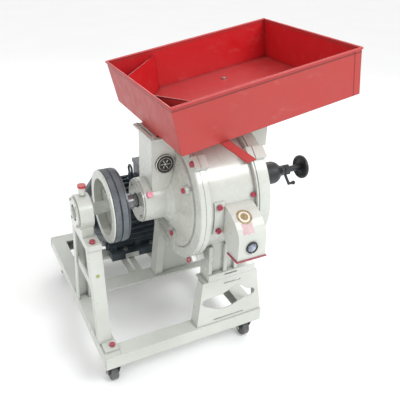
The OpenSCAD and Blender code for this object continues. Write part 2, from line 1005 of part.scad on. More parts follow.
// domed gland with its hub at the end of the cover boss
module screw_gland() place() {
    color(black)
    on_shaft()
    difference() {
        turned([[0, boss_x1], [42, boss_x1], [42, 288], [40, 296], [35, 305], [27, 314],
            [21, 322], [19, 330], [19, 338], [0, 338]]);
        rod(boss_x1 - 1, 340, screw_r + 0.5);
        rod(boss_x1 - 1, boss_x1 + 30, 24);
    }
}

// bent clamp lever that locks the screw
module lock_lever() place() {
    color(black)
    on_shaft() {
        difference() {
            hex_x(lever_x - 12, 38, 20);
            rod(lever_x - 13, lever_x + 9, screw_r + 0.5);
        }
        rotate([180, 0, 0]) {
            translate([lever_x - 2, 0, 17]) rotate([0, 28, 0]) cylinder(h = 52, r = 5.5);
            translate([lever_x + 22.4, 0, 62.9]) sphere(r = 5.7);
            translate([lever_x + 22.4, 0, 62.9]) rotate([0, 90, 0]) cylinder(h = 20, r = 5.5);
            translate([lever_x + 44, 0, 62.9]) sphere(r = 8);
        }
    }
}

// ------------------------------------------------------------------ hopper

// tray: floor and sloping left wall as one bend, with front and rear walls and wired rim
module hopper_tray() place() {
    color(tray_red)
    on_tray()
    difference() {
        union() {
            difference() {
                slab_y(tray_y0, tray_y1)
                    polygon([[tray_x0, 0], [tray_x0 + lean, -tray_h],
                        [tray_x1 - 2, -tray_h], [tray_x1, 0]]);
                slab_y(tray_y0 + tray_t, tray_y1 - tray_t)
                    polygon([[tray_x0 + tray_t, 1], [tray_x0 + lean + tray_t, tray_t - tray_h],
                        [tray_x1 - 2 - tray_t, tray_t - tray_h], [tray_x1 - tray_t, 1]]);
            }
            for (y = [tray_y0, tray_y1])
                translate([0, y, 0]) rod(tray_x0, tray_x1, hook_r);
            for (x = [tray_x0, tray_x1])
                translate([x, tray_y0, 0]) rotate([-90, 0, 0])
                    cylinder(h = tray_w, r = hook_r);
            for (x = [tray_x0, tray_x1])
                for (y = [tray_y0, tray_y1])
                    translate([x, y, 0]) sphere(r = hook_r);
            translate([tray_x1 - 26, tray_y0 - 1.2, -tray_h + 1])
                cube([24, 2, tray_h - 2]);
        }
        translate([-214, -44, -tray_h - 1]) cube([50, 88, 6]);
        for (y = [-190, 190])
            translate([148, y, -tray_h - 1]) cylinder(h = 6, r = 5.5, $fn = 32);
    }
}

// upright plate across a tray corner from [xa, ya] to [xb, yb], top falling from ha to hb
module corner_plate(xa, ya, xb, yb, ha, hb) {
    l = sqrt(pow(xb - xa, 2) + pow(yb - ya, 2));
    translate([xa, ya, tray_t - tray_h])
        rotate([0, 0, atan2(yb - ya, xb - xa)])
        rotate([90, 0, 0])
        linear_extrude(height = 2)
        polygon([[0, 0], [l, 0], [l, hb], [0, ha]]);
}

module corner_plates() place() {
    color(tray_red)
    on_tray()
    intersection() {
        union() {
            corner_plate(-240, 94, -60, 290, 136, 120);
            mirror([0, 1, 0]) corner_plate(-236, 96, -140, 250, 136, 128);
        }
        slab_y(tray_y0 + tray_t + 0.3, tray_y1 - tray_t - 0.3)
            polygon([[tray_x0 + tray_t + 0.4, 0], [tray_x0 + lean + tray_t + 0.4, -tray_h],
                [tray_x1, -tray_h], [tray_x1, 0]]);
    }
}

// wedge between the column plate and the sloping gate, with the outlet through it
module feed_neck() {
    color(tray_red)
    difference() {
        intersection() {
            translate([-197, -60, plate_z1]) cube([69, 120, 60]);
            on_tray() union() {
                translate([-240, -70, -240]) cube([23.5, 140, 240 - tray_h]);
                translate([-217, -70, -240]) cube([80, 140, 240 - tray_h - gate_t - 2 * air]);
            }
        }
        translate([-185, -44, plate_z1 - 1]) cube([51, 88, 60]);
    }
}

// right-hand guide of the gate under the tray floor
module gate_guide() {
    color(tray_red)
    on_tray() {
        translate([-62, -66, -tray_h - gate_t - 2 * air])
            cube([12, 132, gate_t + 2 * air]);
        translate([-72, -66, -tray_h - gate_t - 2 * air - 3]) cube([22, 132, 3]);
    }
}

// flat gate with its pull bar
module gate_slide() place() {
    color(tray_red)
    on_tray() {
        translate([-216, -62, -tray_h - air - gate_t]) cube([153.5, 124, gate_t]);
        translate([-107, pull_y, -tray_h - air - gate_t]) cube([28, -pull_y - 61, gate_t]);
    }
}

bar_z = -tray_h - 5;
bracket_x0 = cover_x + 6;
bracket_x1 = 214;

// cross bar under the tray
module tray_bar() {
    color(tray_red)
    on_tray()
    difference() {
        translate([108, -215, bar_z]) cube([106, 430, 5]);
        for (y = [-190, 190])
            translate([148, y, bar_z - 1]) cylinder(h = 7, r = 5.5, $fn = 32);
    }
}

// bracket on the end cover that carries the high end of the tray
module tray_bracket() {
    color(cream)
    intersection() {
        union() {
            translate([cover_x, -52, 722]) cube([6, 104, 60]);
            for (y = [-46, 41])
                slab_y(y, y + 5)
                    polygon([[cover_x + 1, 724], [bracket_x1, 724], [bracket_x1, 960],
                        [bracket_x0, 960], [bracket_x0, 781], [cover_x + 1, 781]]);
            slab_y(-46, 46)
                polygon([[bracket_x1 - 6, 724], [bracket_x1, 724], [bracket_x1, 960],
                    [bracket_x1 - 6, 960]]);
            slab_y(-46, 46)
                polygon([[bracket_x0, 781], [bracket_x0 + 6, 781], [bracket_x0 + 6, 960],
                    [bracket_x0, 960]]);
        }
        on_tray() translate([0, -300, -600]) cube([400, 600, 600 + bar_z]);
    }
}

// the bracket's plate is drilled for its two bolts
module drilled_bracket() {
    difference() {
        tray_bracket();
        bracket_holes();
    }
}

module bracket_bolts() {
    color(steel)
    for (s = [-1, 1])
        translate([0, s * bracket_bolt_y, bracket_bolt_z]) {
            rod(cover_x - 12, cover_x + 7, 5);
            hex_x(cover_x + 6, 17, 7);
        }
}

// bolts of the tray on its cross bar
module tray_bolts() {
    color(steel)
    on_tray()
    for (y = [-190, 190])
        translate([148, y, tray_t - tray_h]) {
            cylinder(h = 4, r = 9);
            translate([0, 0, 3]) cylinder(h = 3, r = 5);
            translate([0, 0, -20]) cylinder(h = 20, r = 4.8, $fn = 32);
            translate([0, 0, -13.5]) cylinder(h = 6, r = 7.5, $fn = 6);
        }
}

// ------------------------------------------------------------------ motor

// finned frame with cast feet, box seat and eye boss; hollow for the stator
module motor_body() place() {
    color(motor_blue)
    difference() {
        union() {
            on_motor() rod(body_x0, body_x1, motor_r);
            on_motor()
                for (i = [-13:13])
                    rotate([i * 11.25, 0, 0])
                    translate([body_x0 + 4, -2, motor_r - 4])
                    cube([body_x1 - body_x0 - 8, 4, fin_r - motor_r + 4]);
            for (s = [-1, 1]) {
                translate([-251, motor_y + s * 113 - 28, base_z]) cube([201, 56, foot_h]);
                for (x = [-246, -141])
                    translate([x, motor_y + s * 98 - 20, base_z + 10]) cube([24, 40, 70]);
            }
            translate([-92, motor_y - 42, motor_z + 100]) cube([52, 84, 52]);
            translate([-112, motor_y, motor_z + motor_r - 6])
                cylinder(h = fin_r - motor_r + 8, r = 14);
        }
        on_motor() rod(body_x0 - 1, body_x1 + 1, motor_r - 8);
        for (x = rail_x)
            for (y = [motor_y - foot_bolt_y, motor_y + foot_bolt_y])
                translate([x, y, base_z - 1]) cylinder(h = foot_h + 2, r = 6.5, $fn = 32);
    }
}

module stator_core() place() {
    color(steel) on_motor() ring(-220, -80, motor_r - 8, 76);
}

// end shields with their bearing seats
module motor_shields() place() {
    color(motor_blue)
    on_motor() {
        difference() {
            turned([[0, shield_x0], [46, shield_x0], [58, -280], [104, -274],
                [motor_r - 1, -266], [motor_r - 1, body_x0], [motor_r - 8.5, body_x0],
                [motor_r - 8.5, body_x0 + 8], [110, body_x0 + 8], [100, -264],
                [50, -268], [50, -262], [0, -262]]);
            rod(-284, -261, 36);
            rod(shield_x0 - 1, -283, motor_shaft_r + 2);
        }
        difference() {
            turned([[0, -26], [motor_r - 1, -26], [motor_r - 1, body_x1],
                [motor_r - 8.5, body_x1], [motor_r - 8.5, body_x1 - 8],
                [110, body_x1 - 8], [100, -34], [50, -38], [50, -48], [0, -48]]);
            rod(-49, -32, 36);
            rod(-33, -25, motor_shaft_r + 2);
        }
    }
}

// fan cowl with ring slots in the end face
module fan_cowl() place() {
    color(motor_blue)
    on_motor()
    difference() {
        turned([[0, cowl_x1], [120, cowl_x1], [134, cowl_x1 - 14], [134, -37],
            [motor_r - 1, -37], [motor_r - 1, -26], [131, -26], [131, cowl_x1 - 15],
            [118.5, cowl_x1 - 3], [0, cowl_x1 - 3]]);
        for (i = [0:5])
            rotate([i * 60, 0, 0])
            slab_x(cowl_x1 - 10, cowl_x1 + 1)
                polygon([[-12, 34], [12, 34], [40, 96], [-40, 96]]);
    }
}

module terminal_box() place() {
    color(motor_blue)
    translate([-82, motor_y - 46, motor_z + 152])
        difference() {
            union() {
                cube([100, 92, 62]);
                translate([-4, -4, 50]) cube([108, 100, 16]);
            }
            translate([4, 4, 6]) cube([92, 84, 40]);
            translate([50, 80, 26]) rotate([-90, 0, 0]) cylinder(h = 20, r = 10);
        }
}

module cable_gland() {
    color(black)
    translate([-32, motor_y + 40, motor_z + 178])
        rotate([-90, 0, 0])
        difference() {
            union() {
                cylinder(h = 12, r = 9.8);
                translate([0, 0, 6]) cylinder(h = 8, r = 14, $fn = 6);
                translate([0, 0, 13]) cylinder(h = 12, r = 11.5);
            }
            translate([0, 0, -1]) cylinder(h = 30, r = 5.5);
        }
}

module lifting_eye() {
    color(motor_blue)
    translate([-112, motor_y, motor_z + fin_r + 2]) {
        cylinder(h = 22, r = 10);
        translate([0, 0, 38])
            rotate([0, 90, 0]) rotate([0, 0, 90])
            rotate_extrude() translate([19, 0]) circle(r = 4.5);
    }
}

module motor_rotor() place() {
    color(steel)
    on_motor() {
        rod(pulley_x - 2, 60, motor_shaft_r - 0.5);
        rod(-220, -80, 75);
        ring(-283, -263, 35.6, motor_shaft_r - 1);
        ring(-47, -33, 35.6, motor_shaft_r - 1);
    }
}

module motor_pulley() place() {
    color(steel)
    on_motor()
    difference() {
        rod(pulley_x, pulley_x + pulley_w, motor_pulley_r);
        groove_cut(motor_pulley_r, 16);
        rod(pulley_x - 1, pulley_x + pulley_w + 1, motor_shaft_r - 0.5);
    }
}

module motor_fan() place() {
    color(black)
    on_motor()
    difference() {
        union() {
            rod(4, 44, 34);
            rod(4, 8, 108);
            for (i = [0:7])
                rotate([i * 45, 0, 0]) translate([6, -2, 30]) cube([36, 4, 76]);
        }
        rod(3, 45, motor_shaft_r - 0.5);
    }
}

// loop around both pulleys in the belt plane, r1 and r2 at the two centres
module belt_loop(r1, r2) {
    hull() {
        circle(r = r1);
        translate([centre_l, 0]) circle(r = r2);
    }
}

// one V-belt of width w centred on X = 0
module belt_band(w, out, inn) {
    linear_extrude(height = w)
    difference() {
        belt_loop(pulley_r + out, motor_pulley_r + out);
        belt_loop(pulley_r + inn, motor_pulley_r + inn);
    }
}

// two V-belts side by side
module v_belts() place() {
    color(rubber)
    on_shaft()
    for (s = [-1, 1])
        translate([pulley_x + pulley_w / 2 + s * belt_pitch / 2, 0, 0])
            rotate([90, 0, 90]) rotate([0, 0, -centre_a]) {
                translate([0, 0, -8.4]) belt_band(16.8, belt_top, -6);
                translate([0, 0, -7.1]) belt_band(14.2, -6, -11);
            }
}

// bolts of the motor feet: the front pair in the rails, the rear pair in the rear beam
module motor_bolts() {
    color(steel)
    for (x = rail_x)
        translate([x, motor_y, base_z + foot_h]) {
            translate([0, -foot_bolt_y, 0]) bolt_down(19, 8, 5.8, foot_h + flat_t);
            translate([0, foot_bolt_y, 0]) bolt_down(19, 8, 5.8, foot_h + web_t);
        }
}

// ------------------------------------------------------------------ casters

plate_t = 4;

module caster_plates() place() {
    color(black)
    for (x = caster_x)
        for (y = caster_y)
            translate([x, y, base_z - base_h - plate_t]) {
                difference() {
                    union() {
                        translate([-32, -32, 0]) cube([64, 64, plate_t]);
                        translate([0, 0, -6]) cylinder(h = 7, r = 22);
                    }
                    translate([0, 0, -7]) cylinder(h = plate_t + 8, r = pin_r + fit_gap);
                }
            }
}

fork_top = base_z - base_h - plate_t - 6 - air;
trail = 14;
pin_r = 7;

// fork of one caster with its kingpin on the swivel axis, wheel trailing towards the rear
module fork() {
    color(black) {
        translate([-20, -20, fork_top - 4]) cube([40, 44, 4]);
        translate([0, 0, fork_top - 4]) cylinder(h = 14, r = pin_r);
        for (s = [-1, 1])
            slab_x(s < 0 ? -20 : 17, s < 0 ? -17 : 20)
                polygon([[-20, fork_top - 3], [24, fork_top - 3], [trail + 10, wheel_r - 6],
                    [trail - 10, wheel_r - 6]]);
        translate([0, trail, wheel_r]) rod(-24, 24, 5);
    }
}

module wheel() {
    color(rubber)
    translate([0, trail, wheel_r])
        difference() {
            turned([[0, -15], [12, -15], [12, -12], [24, -10], [wheel_r - 3, -13],
                [wheel_r, -9], [wheel_r, 9], [wheel_r - 3, 13], [24, 10], [12, 12],
                [12, 15], [0, 15]]);
            rod(-16, 16, 5 + fit_gap);
        }
}

module at_caster(i, j) {
    translate([caster_x[i], caster_y[j], 0]) children();
}

module fork_front_left() place() at_caster(0, 0) fork();
module fork_front_right() place() at_caster(1, 0) fork();
module fork_rear_left() place() at_caster(0, 1) fork();
module fork_rear_right() place() at_caster(1, 1) fork();
module wheel_front_left() place() at_caster(0, 0) wheel();
module wheel_front_right() place() at_caster(1, 0) wheel();
module wheel_rear_left() place() at_caster(0, 1) wheel();
module wheel_rear_right() place() at_caster(1, 1) wheel();

// ------------------------------------------------------------------ groups

module side_beams() place() {
    left_beam();
    right_beam();
}

module end_beams() place() {
    front_beam();
    rear_beam();
}

module cross_bars() place() {
    middle_plate();
    rear_cross_bar();
}

module bearing_stand() place() {
    bearing_legs();
    leg_brace();
}

module bearing_caps() place() {
    bearing_cap();
    outboard_cap();
}

module seals() place() {
    shaft_seal();
    cover_gasket();
}

module grease_fittings() place() {
    grease_plug();
    grease_cup();
}

module shaft_sleeves() place() {
    spacers();
    bearing_inner_rings();
}

module steel_bolts() place() {
    cap_screws();
    bracket_bolts();
    tray_bolts();
    motor_bolts();
}

module motor_fittings() place() {
    cable_gland();
    lifting_eye();
}

module tray_support() place() {
    tray_bar();
    drilled_bracket();
}

module gate_guides() place() {
    feed_neck();
    gate_guide();
}

// ------------------------------------------------------------------ nodes

side_beams();
end_beams();
cross_bars();
motor_rails();
bearing_stand();
stand_front();
stand_rear();
caster_plates();
drum_casing();
feed_flange();
column_plate();
bearing_caps();
bearing_outer_rings();
seals();
grease_fittings();
round_badge();
right_cover();
lug_bolts();
red_bolts();
discharge_chute();
chute_lip();
sight_ring();
sight_glass();
outboard_housing();
steel_bolts();
hopper_tray();
corner_plates();
gate_guides();
tray_support();
gate_slide();
main_shaft();
shaft_sleeves();
drive_pulley();
runner_plate();
runner_stone();
feed_worm();
stone_carrier();
carrier_stone();
adjust_screw();
handwheel();
screw_gland();
lock_lever();
motor_body();
stator_core();
motor_shields();
fan_cowl();
terminal_box();
motor_fittings();
motor_rotor();
motor_pulley();
motor_fan();
v_belts();
fork_front_left();
fork_front_right();
fork_rear_left();
fork_rear_right();
wheel_front_left();
wheel_front_right();
wheel_rear_left();
wheel_rear_right();
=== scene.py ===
"""Looks of the belt-driven grain mill: painted sheet, castings, steel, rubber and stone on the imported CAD
frame, with weld beads, washers, plates, stickers and small screws built around it."""
import json
import math
import random

import bmesh
import bpy
from mathutils import Matrix, Vector


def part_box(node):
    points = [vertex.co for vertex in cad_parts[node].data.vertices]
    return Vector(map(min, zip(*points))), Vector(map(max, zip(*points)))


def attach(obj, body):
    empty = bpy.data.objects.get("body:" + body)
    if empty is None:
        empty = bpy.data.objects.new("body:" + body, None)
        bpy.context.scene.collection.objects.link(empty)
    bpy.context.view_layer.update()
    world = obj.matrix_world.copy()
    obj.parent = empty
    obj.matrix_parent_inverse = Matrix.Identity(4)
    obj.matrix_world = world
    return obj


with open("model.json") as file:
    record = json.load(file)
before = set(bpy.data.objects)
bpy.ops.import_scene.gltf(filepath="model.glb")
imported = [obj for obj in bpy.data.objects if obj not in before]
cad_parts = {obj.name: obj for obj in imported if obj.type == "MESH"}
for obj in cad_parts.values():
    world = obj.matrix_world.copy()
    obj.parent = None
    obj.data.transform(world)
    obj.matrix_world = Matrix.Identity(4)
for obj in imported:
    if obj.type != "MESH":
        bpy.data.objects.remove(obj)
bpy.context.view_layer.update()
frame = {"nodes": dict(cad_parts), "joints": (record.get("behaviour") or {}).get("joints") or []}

NODES = frame["nodes"]
MM = 0.001
rng = random.Random(7)

# ---------------------------------------------------------------- node tree helpers


class Tree:
    """A material's node tree with short calls for the nodes used here."""

    def __init__(self, name):
        self.material = bpy.data.materials.new(name)
        self.material.use_nodes = True
        self.tree = self.material.node_tree
        self.tree.nodes.clear()
        self.output = self.node("ShaderNodeOutputMaterial")
        self.shader = self.node("ShaderNodeBsdfPrincipled")
        self.link(self.shader.outputs[0], self.output.inputs["Surface"])
        self.coords = self.node("ShaderNodeTexCoord").outputs["Object"]

    def node(self, kind, **settings):
        made = self.tree.nodes.new(kind)
        for key, value in settings.items():
            setattr(made, key, value)
        return made

    def link(self, source, target):
        self.tree.links.new(source, target)

    def put(self, socket, value):
        """A number or colour is set on the socket, and another socket is linked to it."""
        if isinstance(value, bpy.types.NodeSocket):
            self.link(value, socket)
        elif isinstance(value, (tuple, list)) and socket.type == "RGBA":
            socket.default_value = (*value, 1.0)[:4]
        else:
            socket.default_value = value

    def noise(self, scale, detail=4.0, rough=0.55, stretch=None):
        coords = self.coords
        if stretch:
            mapping = self.node("ShaderNodeMapping")
            mapping.inputs["Scale"].default_value = stretch
            self.link(coords, mapping.inputs["Vector"])
            coords = mapping.outputs["Vector"]
        made = self.node("ShaderNodeTexNoise")
        made.inputs["Scale"].default_value = scale
        made.inputs["Detail"].default_value = detail
        made.inputs["Roughness"].default_value = rough
        self.link(coords, made.inputs["Vector"])
        return made.outputs["Fac"]

    def ramp(self, value, low, high, start=0.0, end=1.0):
        """Straight remap of value from low..high to start..end, clamped."""
        made = self.node("ShaderNodeMapRange")
        self.link(value, made.inputs["Value"])
        for key, number in (("From Min", low), ("From Max", high), ("To Min", start), ("To Max", end)):
            made.inputs[key].default_value = number
        return made.outputs["Result"]

    def math(self, operation, a, b=0.0):
        made = self.node("ShaderNodeMath", operation=operation)
        self.put(made.inputs[0], a)
        self.put(made.inputs[1], b)
        return made.outputs[0]

    def mix(self, amount, a, b):
        made = self.node("ShaderNodeMix", data_type="RGBA")
        self.put(made.inputs["Factor"], amount)
        self.put(made.inputs[6], a)
        self.put(made.inputs[7], b)
        return made.outputs[2]

    def upward(self):
        """1 on faces that look up, 0 on upright and hanging ones."""
        normal = self.node("ShaderNodeNewGeometry").outputs["Normal"]
        parts = self.node("ShaderNodeSeparateXYZ")
        self.link(normal, parts.inputs[0])
        return self.ramp(parts.outputs["Z"], 0.35, 0.95)

    def axis(self, letter):
        parts = self.node("ShaderNodeSeparateXYZ")
        self.link(self.coords, parts.inputs[0])
        return parts.outputs[letter]

    def edges(self, radius, low=0.985, high=0.93):
        """1 on convex and concave edges, from the angle between the face and its rounded normal."""
        rounded = self.node("ShaderNodeBevel", samples=6)
        rounded.inputs["Radius"].default_value = radius
        flat = self.node("ShaderNodeNewGeometry").outputs["Normal"]
        dot = self.node("ShaderNodeVectorMath", operation="DOT_PRODUCT")
        self.link(rounded.outputs[0], dot.inputs[0])
        self.link(flat, dot.inputs[1])
        return self.ramp(dot.outputs["Value"], low, high)

    def crevices(self, distance):
        made = self.node("ShaderNodeAmbientOcclusion", samples=6)
        made.inputs["Distance"].default_value = distance
        return self.ramp(made.outputs["AO"], 0.85, 0.35)

    def surface(self, colour, roughness, bump=None, strength=0.3, depth=0.4 * MM, round_edge=0.0):
        self.put(self.shader.inputs["Base Color"], colour)
        self.put(self.shader.inputs["Roughness"], roughness)
        rounded = None
        if round_edge:
            rounded = self.node("ShaderNodeBevel", samples=6)
            rounded.inputs["Radius"].default_value = round_edge
        if bump is not None:
            made = self.node("ShaderNodeBump")
            made.inputs["Strength"].default_value = strength
            made.inputs["Distance"].default_value = depth
            self.link(bump, made.inputs["Height"])
            if rounded:
                self.link(rounded.outputs[0], made.inputs["Normal"])
            self.link(made.outputs[0], self.shader.inputs["Normal"])
        elif rounded:
            self.link(rounded.outputs[0], self.shader.inputs["Normal"])
        return self.material


# ---------------------------------------------------------------- places taken from the frame

JOINTS = {j["name"]: j for j in frame["joints"]}
SHAFT = Vector(JOINTS["mill_spin"]["pos_m"])
MOTOR = Vector(JOINTS["motor_spin"]["pos_m"])
TRAY_TILT = math.radians(10.3)
X, Y, Z = Vector((1, 0, 0)), Vector((0, 1, 0)), Vector((0, 0, 1))


def low(node):
    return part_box(node)[0]


def high(node):
    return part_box(node)[1]


def spoke(angle, radius, x):
    """Point at an angle from straight up towards the front, at a radius from the mill shaft."""
    a = math.radians(angle)
    return Vector((x, SHAFT.y - radius * math.sin(a), SHAFT.z + radius * math.cos(a)))


# ---------------------------------------------------------------- materials

# cream paint, its darker tone, flour dust and the bare iron under the paint
CREAM, CREAM_SHADE, FLOUR = (0.55, 0.57, 0.525), (0.43, 0.445, 0.40), (0.63, 0.64, 0.60)
IRON = (0.13, 0.12, 0.10)


def enamel(name, base, shade, bare, dust, dust_share=0.25, gloss=0.32, grain=90, lumps=0.25,
           edge=2.0 * MM, coat=0.25, chips=0.55, tint=None):
    """Machine enamel: mottled colour, dust on top faces, painted shade with grime in corners (darkened by
    ambient occlusion) and chipped edges over bare metal.
    tint changes the colour by place, for parts painted in more than one colour and for painted shade on some
    parts."""
    t = Tree(name)
    broad = t.ramp(t.noise(5, 3), 0.35, 0.68)
    colour = t.mix(t.math("MULTIPLY", broad, 0.6), base, shade)
    if tint:
        colour = tint(t, colour)
    streaks = t.ramp(t.noise(16, 5, 0.65, stretch=(1, 1, 0.18)), 0.55, 0.78)
    colour = t.mix(t.math("MULTIPLY", streaks, 0.35), colour, shade)
    # painted shade: corners and recesses darkened by ambient occlusion, mottled by noise as grime
    crevice_shade_and_grime = t.math("MULTIPLY", t.crevices(14 * MM), t.ramp(t.noise(60, 4), 0.3, 0.7, 0.45, 1.0))
    colour = t.mix(t.math("MULTIPLY", crevice_shade_and_grime, 0.55), colour, [c * 0.28 for c in bare])
    powder = t.math("MULTIPLY", t.upward(), t.ramp(t.noise(22, 6, 0.7), 0.35, 0.75, 0.2, 1.0))
    colour = t.mix(t.math("MULTIPLY", powder, dust_share), colour, dust)
    worn = t.math("MULTIPLY", t.edges(edge), t.ramp(t.noise(140, 5, 0.7), 0.47, 0.6, 0.0, 1.0))
    worn = t.math("MULTIPLY", worn, chips)
    colour = t.mix(worn, colour, bare)
    rough = t.ramp(t.noise(28, 5), 0.3, 0.75, gloss - 0.06, gloss + 0.16)
    rough = t.math("ADD", rough, t.math("MULTIPLY", powder, 0.22))
    fine = t.noise(grain, 4, 0.5)
    coarse = t.noise(14, 3)
    height = t.math("ADD", t.math("MULTIPLY", fine, 0.35), coarse)
    t.shader.inputs["Coat Weight"].default_value = coat
    t.shader.inputs["Coat Roughness"].default_value = 0.18
    return t.surface(colour, rough, height, lumps, 1.2 * MM, edge)


def hopper_enamel(name, node):
    """Red enamel of the tray: clean inside, chalky outside, scuffed and dusty on the floor, with a painted
    highlight on its rim, painted shadow under the rim and painted shade in its corners.
    """
    low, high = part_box(node)
    t = Tree(name)
    inside, chalk, dusty = (0.52, 0.010, 0.014), (0.36, 0.036, 0.030), (0.46, 0.062, 0.060)
    broad = t.ramp(t.noise(4, 4), 0.35, 0.7)
    front = t.ramp(t.axis("Y"), low.y + 6.2 * MM, low.y + 5.2 * MM)
    back = t.ramp(t.axis("Y"), high.y - 6.2 * MM, high.y - 5.2 * MM)
    normal = t.node("ShaderNodeNewGeometry").outputs["Normal"]
    parts = t.node("ShaderNodeSeparateXYZ")
    t.link(normal, parts.inputs[0])
    left = t.ramp(parts.outputs["X"], -0.6, -0.85)
    right_side = t.math("GREATER_THAN", t.axis("X"), (low.x + high.x) / 2)
    left = t.math("MULTIPLY", left, t.math("SUBTRACT", 1.0, right_side))
    outer = t.math("MAXIMUM", t.math("MAXIMUM", front, back), left)
    colour = t.mix(t.math("MULTIPLY", broad, 0.35), inside, [c * 0.8 for c in inside])
    colour = t.mix(t.math("MULTIPLY", outer, t.ramp(t.noise(9, 5), 0.3, 0.75, 0.75, 1.0)), colour, chalk)
    scuffs = t.ramp(t.noise(30, 8, 0.75, stretch=(0.5, 1, 1)), 0.56, 0.72)
    floor = t.upward()
    colour = t.mix(t.math("MULTIPLY", floor, t.ramp(t.noise(12, 6, 0.7), 0.3, 0.7, 0.35, 0.8)), colour, dusty)
    colour = t.mix(t.math("MULTIPLY", scuffs, 0.2), colour, (0.52, 0.22, 0.20))
    fall = t.math("MULTIPLY", t.math("SUBTRACT", t.axis("X"), high.x), math.tan(TRAY_TILT))
    depth = t.math("SUBTRACT", fall, t.math("SUBTRACT", t.axis("Z"), high.z))
    # painted highlight: the rolled rim's band is coloured a lighter red than the outer walls
    rim = t.ramp(depth, 9 * MM, 8 * MM)
    colour = t.mix(t.math("MULTIPLY", rim, 0.8), colour, (0.42, 0.030, 0.030))
    # painted shadow under the rolled rim: a dark band on the outer walls and a faint one on the inner walls
    below = t.ramp(depth, 7.5 * MM, 8.5 * MM)
    shadow = t.math("MULTIPLY", t.ramp(depth, 13 * MM, 10.5 * MM), t.math("MULTIPLY", outer, 0.8))
    rim_crease_shade = t.math("MULTIPLY", t.ramp(depth, 11 * MM, 9 * MM), 0.35)
    colour = t.mix(t.math("MULTIPLY", below, t.math("MAXIMUM", shadow, rim_crease_shade)), colour, (0.06, 0.006, 0.006))
    # painted shade with grime: the tray's corners and recesses darkened by ambient occlusion
    crevice_shade_and_grime = t.crevices(22 * MM)
    colour = t.mix(t.math("MULTIPLY", crevice_shade_and_grime, 0.5), colour, (0.13, 0.012, 0.012))
    worn = t.math("MULTIPLY", t.edges(2.5 * MM), t.ramp(t.noise(70, 5, 0.7), 0.40, 0.55, 0.35, 1.0))
    colour = t.mix(t.math("MULTIPLY", worn, 0.7), colour, (0.13, 0.035, 0.03))
    rough = t.ramp(t.noise(24, 6, 0.65), 0.3, 0.75, 0.30, 0.52)
    rough = t.math("ADD", rough, t.math("MULTIPLY", outer, 0.12))
    dents = t.math("ADD", t.noise(7, 2), t.math("MULTIPLY", t.noise(150, 4), 0.06))
    t.shader.inputs["Coat Weight"].default_value = 0.15
    t.shader.inputs["Coat Roughness"].default_value = 0.25
    return t.surface(colour, rough, dents, 0.35, 2.5 * MM, 1.2 * MM)


def metal(name, base, dark, rough_low, rough_high, scale, stretch, strength=0.25, rust=0.15):
    """Bare metal with tool marks along one direction, oil stains and a little rust."""
    t = Tree(name)
    marks = t.noise(scale, 6, 0.7, stretch=stretch)
    stain = t.ramp(t.noise(18, 5), 0.4, 0.7)
    colour = t.mix(t.ramp(marks, 0.3, 0.7), base, dark)
    colour = t.mix(t.math("MULTIPLY", stain, 0.35), colour, dark)
    specks = t.ramp(t.noise(75, 7, 0.75), 0.58, 0.72)
    specks = t.math("MAXIMUM", specks, t.math("MULTIPLY", t.crevices(8 * MM), 0.7))
    colour = t.mix(t.math("MULTIPLY", specks, rust), colour, (0.17, 0.075, 0.035))
    t.shader.inputs["Metallic"].default_value = 0.85
    rough = t.ramp(marks, 0.3, 0.7, rough_low, rough_high)
    return t.surface(colour, rough, marks, strength, 0.25 * MM, 0.8 * MM)


def matt(name, base, shade, dust, rough=0.7, grain=160, strength=0.3, dust_share=0.3, stretch=None):
    """Rubber, plastic and stone: matt, speckled, with dust on top."""
    t = Tree(name)
    speck = t.noise(grain, 5, 0.7, stretch=stretch)
    colour = t.mix(t.ramp(speck, 0.35, 0.65), base, shade)
    film = t.math("MULTIPLY", t.ramp(t.noise(20, 5), 0.35, 0.7), dust_share)
    colour = t.mix(film, colour, dust)
    colour = t.mix(t.math("MULTIPLY", t.edges(1.5 * MM), dust_share), colour, dust)
    height = t.math("ADD", speck, t.noise(24, 3))
    roughness = t.ramp(t.noise(40, 4), 0.3, 0.7, rough - 0.1, rough + 0.1)
    return t.surface(colour, roughness, height, strength, 0.5 * MM, 0.8 * MM)


def shaft_metal(name, base, dark, paint_to):
    """Turned shaft steel, painted over on its left end, up to paint_to along the shaft."""
    t = Tree(name)
    marks = t.noise(60, 6, 0.7, stretch=(6, 1, 1))
    colour = t.mix(t.ramp(marks, 0.3, 0.7), base, dark)
    colour = t.mix(t.math("MULTIPLY", t.ramp(t.noise(18, 5), 0.4, 0.7), 0.35), colour, dark)
    painted = t.ramp(t.axis("X"), paint_to + 1 * MM, paint_to - 1 * MM)
    colour = t.mix(painted, colour, t.mix(t.ramp(t.noise(24, 5), 0.35, 0.7), CREAM, CREAM_SHADE))
    t.put(t.shader.inputs["Metallic"], t.math("MULTIPLY", t.math("SUBTRACT", 1.0, painted), 0.85))
    rough = t.math("ADD", t.ramp(marks, 0.3, 0.7, 0.26, 0.42), t.math("MULTIPLY", painted, 0.05))
    return t.surface(colour, rough, marks, 0.2, 0.25 * MM, 0.8 * MM)


def shaft_radius(t):
    """Distance from the mill shaft's axis."""
    return t.math("SQRT", t.math("ADD", t.math("POWER", t.math("SUBTRACT", t.axis("Y"), SHAFT.y), 2.0),
                                 t.math("POWER", t.math("SUBTRACT", t.axis("Z"), SHAFT.z), 2.0)))


def belt_gap_shade(t, colour):
    """Painted shade: the land between the two belt grooves of the big pulley is coloured near black, as the
    gap between the belts.
    """
    a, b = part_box("drive_pulley")
    middle = t.math("ABSOLUTE", t.math("SUBTRACT", t.axis("X"), (a.x + b.x) / 2))
    # painted shade in the gap between the two belts
    land = t.math("MULTIPLY", t.ramp(middle, 20 * MM, 19 * MM), t.ramp(shaft_radius(t), 99 * MM, 101 * MM))
    return t.mix(land, colour, (0.035, 0.04, 0.045))


